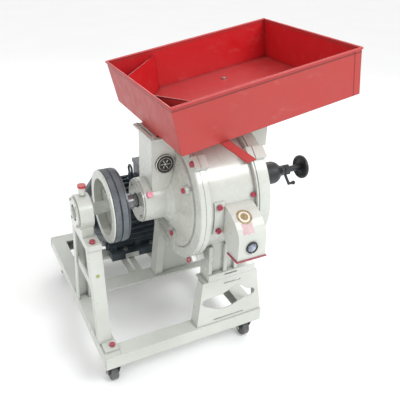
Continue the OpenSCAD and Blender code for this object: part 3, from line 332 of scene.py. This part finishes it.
def disc_shade_and_dark_lines(t, colour):
    """Feed-side disc: painted shade darkens and browns its face, which looks away from the light, with dark
    lines in its step and along the joint of its rim.
    """
    radius = shaft_radius(t)
    disc = t.math("MULTIPLY", t.ramp(t.axis("X"), SHAFT.x - 119 * MM, SHAFT.x - 121 * MM),
                  t.ramp(t.axis("X"), SHAFT.x - 150 * MM, SHAFT.x - 140 * MM))
    patchy = t.ramp(t.noise(9, 5, 0.65), 0.3, 0.7, 0.4, 1.0)
    # painted shade: the disc's face looks away from the key light, so it is darkened and browned
    face = t.math("MULTIPLY", disc, t.ramp(radius, 185 * MM, 178 * MM))
    face = t.math("MULTIPLY", face, t.ramp(radius, 70 * MM, 95 * MM))
    colour = t.mix(t.math("MULTIPLY", t.math("MULTIPLY", face, patchy), 0.5), colour, (0.36, 0.34, 0.285))
    off = t.math("ABSOLUTE", t.math("SUBTRACT", radius, 185.5 * MM))
    near = t.ramp(t.axis("X"), SHAFT.x - 136 * MM, SHAFT.x - 134 * MM)
    step = t.math("MULTIPLY", t.math("MULTIPLY", disc, near), t.ramp(off, 4.5 * MM, 2.0 * MM))
    joint = t.math("ABSOLUTE", t.math("SUBTRACT", t.axis("X"), low("drum_casing").x))
    joint = t.math("MULTIPLY", t.ramp(joint, 1.6 * MM, 0.7 * MM), t.ramp(radius, 200 * MM, 215 * MM))
    step_and_joint_lines = t.math("MULTIPLY", t.math("MAXIMUM", step, joint), patchy)
    return t.mix(t.math("MULTIPLY", step_and_joint_lines, 0.75), colour, (0.10, 0.09, 0.07))


def fitting_colours(t, colour):
    """Grease cup with a cream stem under its red cap; the plug at the other end of the shaft is pink."""
    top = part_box("grease_fittings")[1].z
    stem = t.math("MULTIPLY", t.ramp(t.axis("Z"), top - 7.5 * MM, top - 8.5 * MM),
                  t.ramp(t.axis("X"), SHAFT.x - 299 * MM, SHAFT.x - 301 * MM))
    plug = t.ramp(t.axis("X"), SHAFT.x - 301 * MM, SHAFT.x - 299 * MM)
    colour = t.mix(stem, colour, CREAM)
    return t.mix(plug, colour, (0.68, 0.13, 0.22))


def clear_glass(name):
    """Sight glass: grey-blue pane with a wiped film of flour."""
    t = Tree(name)
    film = t.ramp(t.noise(45, 6, 0.7), 0.35, 0.7)
    colour = t.mix(film, (0.05, 0.07, 0.14), (0.42, 0.46, 0.54))
    t.shader.inputs["Coat Weight"].default_value = 0.8
    t.shader.inputs["Coat Roughness"].default_value = 0.05
    return t.surface(colour, t.ramp(film, 0.0, 1.0, 0.08, 0.3), film, 0.05, 0.2 * MM)


LOOKS = {
    "frame_sheet": enamel("frame_sheet", CREAM, CREAM_SHADE, IRON, FLOUR, lumps=0.16, edge=1.8 * MM,
                          chips=0.8),
    "frame_cast": enamel("frame_cast", CREAM, CREAM_SHADE, IRON, FLOUR, gloss=0.2, grain=40, lumps=0.5,
                         edge=3.5 * MM, coat=0.6, chips=0.4, tint=disc_shade_and_dark_lines),
    "hopper": hopper_enamel("hopper", "hopper_tray"),
    "bolt_paint": enamel("bolt_paint", (0.36, 0.020, 0.050), (0.26, 0.012, 0.03), CREAM, (0.5, 0.2, 0.22),
                         gloss=0.3, edge=1 * MM, chips=0.7),
    "fittings": enamel("fittings", (0.48, 0.025, 0.035), (0.36, 0.018, 0.03), CREAM, FLOUR, gloss=0.3,
                       edge=1 * MM, tint=fitting_colours),
    "pulley": enamel("pulley", CREAM, CREAM_SHADE, IRON, FLOUR, gloss=0.3, grain=55, lumps=0.25,
                     edge=2.5 * MM, coat=0.35, chips=0.4, tint=belt_gap_shade),
    "shaft": shaft_metal("shaft", (0.30, 0.30, 0.31), (0.15, 0.15, 0.16), SHAFT.x - 320 * MM),
    "motor_paint": enamel("motor_paint", (0.026, 0.042, 0.056), (0.018, 0.028, 0.036), (0.09, 0.10, 0.11),
                          (0.16, 0.18, 0.19), dust_share=0.5, gloss=0.36, grain=120, edge=1.5 * MM,
                          coat=0.15),
    "steel": metal("steel", (0.50, 0.50, 0.50), (0.27, 0.27, 0.28), 0.26, 0.46, 60, (6, 1, 1)),
    "zinc": metal("zinc", (0.58, 0.57, 0.52), (0.38, 0.38, 0.36), 0.3, 0.5, 90, (1, 1, 1), rust=0.3),
    "cast_iron": metal("cast_iron", (0.20, 0.20, 0.20), (0.11, 0.11, 0.11), 0.5, 0.7, 120, (1, 1, 1), 0.5,
                       rust=0.3),
    "stone": matt("stone", (0.50, 0.46, 0.38), (0.27, 0.25, 0.21), FLOUR, 0.9, 230, 0.9, 0.4),
    "black_metal": enamel("black_metal", (0.010, 0.011, 0.014), (0.006, 0.006, 0.008), (0.11, 0.11, 0.11),
                          (0.05, 0.05, 0.055), dust_share=0.3, gloss=0.38, grain=110, edge=1.2 * MM,
                          coat=0.1),
    "belt": matt("belt", (0.085, 0.10, 0.115), (0.055, 0.065, 0.075), (0.24, 0.26, 0.27), 0.62, 200, 0.35,
                 dust_share=0.45),
    "rubber": matt("rubber", (0.02, 0.02, 0.022), (0.012, 0.012, 0.013), (0.12, 0.12, 0.11), 0.7, 160, 0.3),
    "wheel": matt("wheel", (0.075, 0.077, 0.08), (0.04, 0.042, 0.045), (0.24, 0.23, 0.22), 0.5, 130, 0.3,
                  dust_share=0.4),
    "plastic": matt("plastic", (0.02, 0.02, 0.02), (0.015, 0.015, 0.015), (0.10, 0.10, 0.10), 0.5, 190, 0.15,
                    dust_share=0.2),
    "glass": clear_glass("glass"),
    "plate": metal("plate", (0.62, 0.62, 0.60), (0.45, 0.45, 0.44), 0.3, 0.5, 40, (9, 1, 1), 0.12, 0.05),
    "chrome": metal("chrome", (0.68, 0.66, 0.60), (0.40, 0.38, 0.33), 0.15, 0.32, 70, (1, 1, 1), 0.15, 0.1),
    "foil": matt("foil", (0.36, 0.26, 0.11), (0.17, 0.10, 0.035), (0.45, 0.40, 0.28), 0.42, 130, 0.2, 0.25),
    "ribbon": matt("ribbon", (0.58, 0.36, 0.38), (0.47, 0.24, 0.27), FLOUR, 0.55, 90, 0.1, 0.35),
    "paper": matt("paper", (0.78, 0.75, 0.66), (0.66, 0.62, 0.52), FLOUR, 0.6, 90, 0.1, 0.2),
    "leaf": matt("leaf", (0.33, 0.36, 0.10), (0.24, 0.27, 0.07), FLOUR, 0.55, 90, 0.1, 0.2),
}

WEARS = {
    "frame_sheet": ["side_beams", "end_beams", "cross_bars", "motor_rails", "bearing_stand", "stand_front",
                    "stand_rear", "discharge_chute", "tray_support", "column_plate"],
    "frame_cast": ["drum_casing", "feed_flange", "bearing_caps", "right_cover", "outboard_housing"],
    "pulley": ["drive_pulley"],
    "hopper": ["hopper_tray", "corner_plates", "gate_guides", "gate_slide"],
    "bolt_paint": ["lug_bolts", "red_bolts", "chute_lip"],
    "fittings": ["grease_fittings"],
    "motor_paint": ["motor_body", "motor_shields", "fan_cowl", "terminal_box", "motor_fittings"],
    "steel": ["bearing_outer_rings", "stator_core", "motor_rotor", "motor_pulley", "feed_worm"],
    "shaft": ["main_shaft", "shaft_sleeves"],
    "zinc": ["steel_bolts"],
    "cast_iron": ["runner_plate", "stone_carrier"],
    "stone": ["runner_stone", "carrier_stone"],
    "black_metal": ["caster_plates", "round_badge", "sight_ring", "adjust_screw", "handwheel", "screw_gland",
                    "lock_lever", "fork_front_left", "fork_front_right", "fork_rear_left", "fork_rear_right"],
    "belt": ["v_belts"],
    "rubber": ["seals"],
    "wheel": ["wheel_front_left", "wheel_front_right", "wheel_rear_left", "wheel_rear_right"],
    "plastic": ["motor_fan"],
    "glass": ["sight_glass"],
}

for look, names in WEARS.items():
    for name in names:
        slots = NODES[name].data.materials
        slots.clear()
        slots.append(LOOKS[look])

# ---------------------------------------------------------------- mesh helpers


def finish_piece(name, mesh, look, body, smooth=True):
    """Makes an object of a bmesh, gives it its material and lets it ride on a CAD body."""
    data = bpy.data.meshes.new(name)
    bmesh.ops.recalc_face_normals(mesh, faces=mesh.faces[:])
    mesh.to_mesh(data)
    mesh.free()
    piece = bpy.data.objects.new(name, data)
    bpy.context.scene.collection.objects.link(piece)
    data.materials.append(LOOKS[look])
    if smooth:
        data.shade_smooth()
        data.set_sharp_from_angle(angle=math.radians(38))
    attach(piece, body)
    return piece


def basis(axis):
    """A matrix that turns +Z to axis."""
    return Vector(axis).normalized().to_track_quat("Z", "Y").to_matrix().to_4x4()


def lathe(mesh, profile, at, axis, steps=32):
    """Solid of revolution; profile is [(radius, height)], with the first and last on the axis."""
    place = Matrix.Translation(at) @ basis(axis)
    rings = []
    for radius, height in profile:
        if radius < 1e-7:
            rings.append([mesh.verts.new(place @ Vector((0, 0, height)))])
        else:
            rings.append([mesh.verts.new(place @ Vector((radius * math.cos(math.tau * i / steps),
                                                         radius * math.sin(math.tau * i / steps), height)))
                          for i in range(steps)])
    for a, b in zip(rings, rings[1:]):
        for i in range(steps):
            j = (i + 1) % steps
            corners = [a[i % len(a)], a[j % len(a)], b[j % len(b)], b[i % len(b)]]
            corners = list(dict.fromkeys(corners))
            if len(corners) > 2:
                mesh.faces.new(corners)


def ring_profile(outer, inner, bottom, top, soft):
    """Closed profile of a washer or ring with softened outer edges."""
    return [(inner, bottom), (outer - soft, bottom), (outer, bottom + soft), (outer, top - soft),
            (outer - soft, top), (inner, top), (inner, bottom)]


def slab(mesh, size, at, axis_x, axis_z, soft):
    """Plate with softened top edges: size is (length, width, height) along axis_x, their cross and axis_z."""
    z = Vector(axis_z).normalized()
    x = Vector(axis_x).normalized()
    y = z.cross(x)
    length, width, height = size
    levels = [(0.0, 0.0), (height - soft, 0.0), (height, soft)]
    loops = []
    for level, inset in levels:
        across, along = width / 2 - inset, length / 2 - inset
        loops.append([mesh.verts.new(Vector(at) + x * (i * along) + y * (j * across) + z * level)
                      for i, j in ((-1, -1), (1, -1), (1, 1), (-1, 1))])
    mesh.faces.new(loops[0][::-1])
    for a, b in zip(loops, loops[1:]):
        for i in range(4):
            j = (i + 1) % 4
            mesh.faces.new([a[i], a[j], b[j], b[i]])
    mesh.faces.new(loops[-1])


def bead(mesh, start, end, radius, pitch=5 * MM, steps=8):
    """Weld bead: a lumpy tube between two points, made of overlapping ripples."""
    start, end = Vector(start), Vector(end)
    length = (end - start).length
    count = max(4, int(length / pitch) * 3)
    turn = basis(end - start)
    loops = []
    for k in range(count + 1):
        along = k / count
        ripple = 0.78 + 0.22 * abs(math.sin(math.pi * along * length / pitch)) + rng.uniform(-0.05, 0.05)
        cap = min(1.0, 4 * min(along, 1 - along) + 0.35)
        centre = start.lerp(end, along)
        reach = radius * ripple * cap
        loops.append([mesh.verts.new(centre + turn @ Vector((reach * math.cos(math.tau * i / steps),
                                                             reach * math.sin(math.tau * i / steps), 0)))
                      for i in range(steps)])
    for a, b in zip(loops, loops[1:]):
        for i in range(steps):
            j = (i + 1) % steps
            mesh.faces.new([a[i], a[j], b[j], b[i]])
    mesh.faces.new(loops[0][::-1])
    mesh.faces.new(loops[-1])


# ---------------------------------------------------------------- washers and bolt crowns

LUG_ANGLES = (42, 138, 222, 318)
LUG_BOLT_RADIUS = 233 * MM
HEX_CROWN = 7.2 * MM


def crown(mesh, at, axis, radius, thick=1.6 * MM):
    """Turned crown on top of a hexagon head, with a shallow dish in the middle."""
    lathe(mesh, [(0, -0.4 * MM), (radius, -0.4 * MM), (radius, 0.2 * MM), (radius * 0.86, thick * 0.7),
                 (radius * 0.5, thick * 0.55), (0, thick * 0.5)], at, axis, 24)


def washer(mesh, at, axis, outer, inner, thick=1.8 * MM):
    lathe(mesh, ring_profile(outer, inner, 0, thick, 0.5 * MM), at, axis, 32)


crowns = bmesh.new()
washers = bmesh.new()
bolts_low = low("lug_bolts")
for angle in LUG_ANGLES:
    crown(crowns, spoke(angle, LUG_BOLT_RADIUS, bolts_low.x), -X, HEX_CROWN)
    crown(crowns, spoke(angle, LUG_BOLT_RADIUS, SHAFT.x + 56 * MM), -X, HEX_CROWN)
FLANGE_BOLTS = ((60, 170), (150, 132), (240, 170), (330, 132))
flange_head_x = SHAFT.x - 152 * MM
for angle, radius in FLANGE_BOLTS:
    crown(crowns, spoke(angle, radius * MM, flange_head_x), -X, 7.2 * MM, 1.2 * MM)
    washer(washers, spoke(angle, radius * MM, flange_head_x + 7.8 * MM), -X, 12.5 * MM, 8 * MM, 1.6 * MM)
finish_piece("bolt_crowns", crowns, "bolt_paint", "machine")
finish_piece("flange_washers", washers, "frame_sheet", "machine")

# ---------------------------------------------------------------- weld beads

BEAD = 2.6 * MM
welds = bmesh.new()
base_top = high("side_beams").z
stand_low, stand_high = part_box("stand_front")
bead(welds, (stand_low.x + 6 * MM, stand_low.y + 1.5 * MM, base_top + 1 * MM),
     (stand_high.x - 6 * MM, stand_low.y + 1.5 * MM, base_top + 1 * MM), BEAD)
for x, sign in ((stand_low.x, 1), (stand_high.x, -1)):
    bead(welds, (x + sign * 1 * MM, stand_low.y + 8 * MM, base_top + 1.5 * MM),
         (x + sign * 1 * MM, stand_low.y + 44 * MM, base_top + 1.5 * MM), BEAD)
leg_low = low("bearing_stand")
LEG_FOOT = 141 * MM
LEG_WIDTH = 44 * MM
for sign in (-1, 1):
    y = SHAFT.y + sign * (LEG_FOOT + 1.5 * MM)
    bead(welds, (leg_low.x + 3 * MM, y, leg_low.z + 8 * MM),
         (leg_low.x + LEG_WIDTH - 4 * MM, y, leg_low.z + 8 * MM), BEAD)
    for x in (leg_low.x + 0.5 * MM, leg_low.x + LEG_WIDTH - 0.5 * MM):
        bead(welds, (x, SHAFT.y + sign * 114 * MM, base_top + 1 * MM),
             (x, SHAFT.y + sign * 139 * MM, base_top + 1 * MM), BEAD)
beam_low, beam_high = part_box("side_beams")
end_low, end_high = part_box("end_beams")
for x, sign in ((beam_low.x, 1), (beam_high.x, -1)):
    for y in (end_low.y + 3.5 * MM, end_high.y - 3.5 * MM):
        bead(welds, (x, y, beam_low.z + 4 * MM), (x, y, beam_high.z - 3 * MM), 2.0 * MM)
        bead(welds, (x + sign * 4 * MM, y, beam_high.z - 0.5 * MM),
             (x + sign * 52 * MM, y, beam_high.z - 0.5 * MM), 2.0 * MM)
rail_low, rail_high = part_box("motor_rails")
RAIL_WIDTH = 56 * MM
for x in (rail_low.x, rail_high.x - RAIL_WIDTH):
    for y in (rail_low.y, rail_high.y):
        bead(welds, (x + 3 * MM, y, rail_high.z - 0.5 * MM),
             (x + RAIL_WIDTH - 3 * MM, y, rail_high.z - 0.5 * MM), 2.0 * MM)
plate_low = low("cross_bars")
BAY = 54 * MM
for y in (plate_low.y, plate_low.y + 68 * MM):
    for x in (beam_low.x + BAY, beam_high.x - BAY):
        bead(welds, (x - 1 * MM, plate_low.y + 4 * MM, beam_high.z - 0.5 * MM),
             (x - 1 * MM, plate_low.y + 64 * MM, beam_high.z - 0.5 * MM), 2.0 * MM)
finish_piece("weld_beads", welds, "frame_sheet", "machine")

# ---------------------------------------------------------------- badge: plain ring and a generic sunburst

badge_low, badge_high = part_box("round_badge")
badge_at = Vector(((badge_low.x + badge_high.x) / 2, badge_low.y, (badge_low.z + badge_high.z) / 2))
badge = bmesh.new()
lathe(badge, ring_profile(32 * MM, 29.2 * MM, -0.3 * MM, 1.0 * MM, 0.4 * MM), badge_at, -Y, 64)
lathe(badge, ring_profile(22.2 * MM, 20.6 * MM, -0.3 * MM, 0.9 * MM, 0.3 * MM), badge_at, -Y, 64)
PETALS = 6
for k in range(PETALS):
    turn = math.tau * k / PETALS
    direction = X * math.cos(turn) + Z * math.sin(turn)
    slab(badge, (10 * MM, 3.2 * MM, 1.2 * MM), badge_at + direction * 11.5 * MM, direction, -Y, 0.5 * MM)
lathe(badge, [(0, -0.3 * MM), (4 * MM, -0.3 * MM), (4 * MM, 0.7 * MM), (2.4 * MM, 1.4 * MM), (0, 1.6 * MM)],
      badge_at, -Y)
finish_piece("badge_ring", badge, "chrome", "machine")

# ---------------------------------------------------------------- stickers on the chute

chute_low, chute_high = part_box("discharge_chute")
chute_front = chute_low.y
# top line of the hood seen from the side, in mm behind its front and above the floor
HOOD_LINE = ((0, 543), (5, 562), (17, 581), (34, 597), (56, 610), (86, 621))
HOOD = [(chute_front + back * MM, height * MM) for back, height in HOOD_LINE]
HOOD_LENGTHS = [math.dist(a, b) for a, b in zip(HOOD, HOOD[1:])]


def on_hood(x, along, lift):
    """Point on the curved top of the chute, at a length along its profile from the front edge up."""
    (y0, z0), (y1, z1) = HOOD[0], HOOD[1]
    rest = along
    for k, length in enumerate(HOOD_LENGTHS):
        (y0, z0), (y1, z1) = HOOD[k], HOOD[k + 1]
        if rest <= length or k == len(HOOD_LENGTHS) - 1:
            break
        rest -= length
    share = rest / length
    normal = Vector((0, -(z1 - z0), y1 - y0)).normalized()
    return Vector((x, y0 + (y1 - y0) * share, z0 + (z1 - z0) * share)) + normal * lift


def hood_patch(name, outline, look, lift, rings=8):
    """Thin sticker pressed on the hood: outline is [(x, along)] round a centre, filled by shrinking rings."""
    cx = sum(p[0] for p in outline) / len(outline)
    ca = sum(p[1] for p in outline) / len(outline)
    mesh = bmesh.new()
    loops = []
    for k in range(rings):
        share = 1 - k / rings
        loops.append([mesh.verts.new(on_hood(cx + (x - cx) * share, ca + (a - ca) * share, lift))
                      for x, a in outline])
    centre = mesh.verts.new(on_hood(cx, ca, lift))
    count = len(outline)
    for a, b in zip(loops, loops[1:]):
        for i in range(count):
            j = (i + 1) % count
            mesh.faces.new([a[i], a[j], b[j], b[i]])
    for i in range(count):
        mesh.faces.new([loops[-1][i], loops[-1][(i + 1) % count], centre])
    rim = [mesh.verts.new(on_hood(x, a, -0.2 * MM)) for x, a in outline]
    for i in range(count):
        j = (i + 1) % count
        mesh.faces.new([rim[i], rim[j], loops[0][j], loops[0][i]])
    return finish_piece(name, mesh, look, "machine")


STICKER_X = (chute_low.x + chute_high.x) / 2 + 8 * MM
ROSETTE_AT = 78 * MM
ROSETTE_RADIUS = 26 * MM
SCALLOPS = 20


def rosette(radius, wave):
    """Scalloped circle round the sticker's middle."""
    points = []
    for i in range(SCALLOPS * 6):
        turn = math.tau * i / (SCALLOPS * 6)
        reach = radius + wave * math.cos(SCALLOPS * turn)
        points.append((STICKER_X + reach * math.cos(turn), ROSETTE_AT + reach * math.sin(turn)))
    return points


RIBBON_TOP, RIBBON_END, RIBBON_HALF = 58 * MM, 18 * MM, 18 * MM
# swallow-tailed ribbon, in half widths across and lengths down
RIBBON_SHAPE = ((-1, 0), (-0.33, 0), (0.33, 0), (1, 0), (1.05, 0.33), (1.1, 0.66), (1.15, 1), (0.6, 0.85),
                (0, 1), (-0.6, 0.85), (-1.15, 1), (-1.1, 0.66), (-1.05, 0.33))
ribbon = [(STICKER_X - 2 * MM + u * RIBBON_HALF, RIBBON_TOP + (RIBBON_END - RIBBON_TOP) * v)
          for u, v in RIBBON_SHAPE]
hood_patch("sticker_ribbon", ribbon, "ribbon", 0.25 * MM)
hood_patch("sticker_rosette", rosette(ROSETTE_RADIUS, 1.0 * MM), "foil", 0.40 * MM)
hood_patch("sticker_rosette_middle", rosette(ROSETTE_RADIUS * 0.72, 0.0), "paper", 0.55 * MM)
hood_patch("sticker_rosette_heart", rosette(ROSETTE_RADIUS * 0.5, 0.0), "foil", 0.70 * MM)

# ---------------------------------------------------------------- small sticker on the front bearing leg

LEG_LEAN = math.atan2(50, 334)
leg_out = Vector((0, -math.cos(LEG_LEAN), math.sin(LEG_LEAN)))
leg_spot = Vector((leg_low.x + 22 * MM, SHAFT.y - 92 * MM - (482 - 400) * MM * math.tan(LEG_LEAN), 400 * MM))
spot = bmesh.new()
lathe(spot, [(0, -0.3 * MM), (6.5 * MM, -0.3 * MM), (6.5 * MM, 0.25 * MM), (0, 0.3 * MM)],
      leg_spot, leg_out, 28)
finish_piece("leg_sticker", spot, "leaf", "machine")

# ---------------------------------------------------------------- motor plate, box screws, cowl screws

PLATE_LEFT = 168 * MM
motor_low = low("motor_body")
plate = bmesh.new()
plate_at = Vector((MOTOR.x - PLATE_LEFT, motor_low.y - 0.4 * MM, motor_low.z + 20 * MM))
slab(plate, (58 * MM, 22 * MM, 1.2 * MM), plate_at, X, -Y, 0.4 * MM)
for dx in (-26, 26):
    lathe(plate, [(0, 0), (1.8 * MM, 0), (1.4 * MM, 0.9 * MM), (0, 1.2 * MM)],
          plate_at + Vector((dx, -0.5, 0)) * MM, -Y, 12)
finish_piece("motor_plate", plate, "plate", "machine")

screws = bmesh.new()
box_low, box_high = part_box("terminal_box")


def screw(mesh, at, axis, radius, height=2.2 * MM):
    """Round screw head with a dished recess."""
    lathe(mesh, [(0, -0.5 * MM), (radius, -0.5 * MM), (radius, height * 0.5), (radius * 0.8, height),
                 (radius * 0.45, height), (radius * 0.35, height * 0.35), (0, height * 0.35)], at, axis, 20)


for x in (box_low.x + 10 * MM, box_high.x - 10 * MM):
    for y in (box_low.y + 10 * MM, box_high.y - 10 * MM):
        screw(screws, Vector((x, y, box_high.z)), Z, 4 * MM)
cowl_low = low("fan_cowl")
for k in range(4):
    turn = math.tau * (k + 0.5) / 4
    out = Vector((0, math.cos(turn), math.sin(turn)))
    screw(screws, Vector((cowl_low.x + 10 * MM, MOTOR.y, MOTOR.z)) + out * 134 * MM, out, 4.5 * MM)
shield_low = low("motor_shields")
for k in range(4):
    turn = math.tau * (k + 0.5) / 4
    out = Vector((0, math.cos(turn), math.sin(turn)))
    screw(screws, Vector((shield_low.x + 17.5 * MM, MOTOR.y, MOTOR.z)) + out * 112 * MM, -X, 5 * MM, 4 * MM)
finish_piece("motor_screws", screws, "zinc", "machine")

# ---------------------------------------------------------------- sight ring screws, plate bolts

small = bmesh.new()
sight_low, sight_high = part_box("sight_ring")
sight_at = Vector(((sight_low.x + sight_high.x) / 2, sight_low.y, (sight_low.z + sight_high.z) / 2))
for k in range(3):
    turn = math.tau * (k / 3 + 0.08)
    screw(small, sight_at + (X * math.cos(turn) + Z * math.sin(turn)) * 17.8 * MM, -Y, 1.6 * MM, 1.0 * MM)
column_low, column_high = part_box("column_plate")
for x in (column_low.x + 12 * MM, column_high.x - 10 * MM):
    for y in (column_low.y + 8 * MM, column_high.y - 8 * MM):
        screw(small, Vector((x, y, column_high.z)), Z, 5 * MM, 3.5 * MM)
finish_piece("small_screws", small, "zinc", "machine")

# ---------------------------------------------------------------- handwheel rim, caster axle nuts

rim = bmesh.new()
hand_x = high("handwheel").x - 15 * MM
RIM = ((43.4, -3), (44.6, -1.6), (45.0, 2), (44.6, 6), (43.2, 7.6), (42, 7.4), (42, -2), (43.4, -3))
lathe(rim, [(radius * MM, along * MM) for radius, along in RIM], Vector((hand_x, SHAFT.y, SHAFT.z)), X, 72)
finish_piece("handwheel_rim", rim, "black_metal", "screw")

for corner in ("front_left", "front_right", "rear_left", "rear_right"):
    nuts = bmesh.new()
    axle = Vector(JOINTS["wheel_turn_" + corner]["pos_m"])
    for sign in (-1, 1):
        cheek = axle + X * sign * 20 * MM
        lathe(nuts, [(0, -0.5 * MM), (7.5 * MM, -0.5 * MM), (7.5 * MM, 3 * MM), (6.2 * MM, 4 * MM),
                     (0, 4 * MM)], cheek, X * sign, 6)
        washer(nuts, cheek, X * sign, 9 * MM, 5 * MM, 1.2 * MM)
    finish_piece("axle_nuts_" + corner, nuts, "zinc", "swivel_" + corner)

# ---------------------------------------------------------------- camera, light, floor

CAMERA_AZIMUTH = math.radians(-28.2)
CAMERA_ELEVATION = math.radians(28.7)
CAMERA_ROLL = math.radians(2.3)
CAMERA_DISTANCE = 1.90
CAMERA_LENS = 45.3
AIM = SHAFT + Vector((0.044, 0.099, -0.113))

back = Vector((math.sin(CAMERA_AZIMUTH) * math.cos(CAMERA_ELEVATION),
               -math.cos(CAMERA_AZIMUTH) * math.cos(CAMERA_ELEVATION),
               math.sin(CAMERA_ELEVATION)))
right = Vector((math.cos(CAMERA_AZIMUTH), math.sin(CAMERA_AZIMUTH), 0))
up = back.cross(right)
camera = bpy.data.objects.new("camera", bpy.data.cameras.new("camera"))
bpy.context.scene.collection.objects.link(camera)
camera.data.lens = CAMERA_LENS
camera.data.sensor_width = 36.0
side = right * math.cos(CAMERA_ROLL) + up * math.sin(CAMERA_ROLL)
top = up * math.cos(CAMERA_ROLL) - right * math.sin(CAMERA_ROLL)
camera.matrix_world = Matrix.Translation(AIM + back * CAMERA_DISTANCE) @ Matrix(
    ((side.x, top.x, back.x, 0), (side.y, top.y, back.y, 0), (side.z, top.z, back.z, 0), (0, 0, 0, 1)))
bpy.context.scene.camera = camera


def lamp(name, at, size, power, aim=(0, 0, 0.5), colour=(1, 1, 1)):
    light = bpy.data.lights.new(name, "AREA")
    light.shape = "RECTANGLE"
    light.size, light.size_y = size
    light.energy = power
    light.color = colour
    made = bpy.data.objects.new(name, light)
    bpy.context.scene.collection.objects.link(made)
    made.location = at
    made.rotation_mode = "QUATERNION"
    made.rotation_quaternion = (Vector(aim) - Vector(at)).to_track_quat("-Z", "Y")


lamp("key", (1.1, -2.3, 2.9), (1.5, 1.1), 62, colour=(0.94, 0.98, 1.0))
lamp("fill", (-2.6, -1.2, 1.9), (1.4, 1.4), 10)
lamp("rim", (1.4, 2.4, 2.4), (1.6, 1.2), 25)

world = bpy.data.worlds.new("studio")
world.use_nodes = True
world.node_tree.nodes["Background"].inputs["Color"].default_value = (1.0, 1.0, 1.0, 1.0)
world.node_tree.nodes["Background"].inputs["Strength"].default_value = 0.98
bpy.context.scene.world = world
bpy.context.scene.view_settings.view_transform = "Standard"

floor_look = Tree("floor")
floor_tone = floor_look.mix(floor_look.ramp(floor_look.noise(1.5, 3), 0.3, 0.7),
                            (0.93, 0.93, 0.93), (0.95, 0.95, 0.95))
floor_look.surface(floor_tone, 0.8)
floor_mesh = bmesh.new()
bmesh.ops.create_grid(floor_mesh, x_segments=1, y_segments=1, size=60)
floor_data = bpy.data.meshes.new("floor")
floor_mesh.to_mesh(floor_data)
floor_mesh.free()
floor_data.materials.append(floor_look.material)
floor_object = bpy.data.objects.new("floor", floor_data)
bpy.context.scene.collection.objects.link(floor_object)
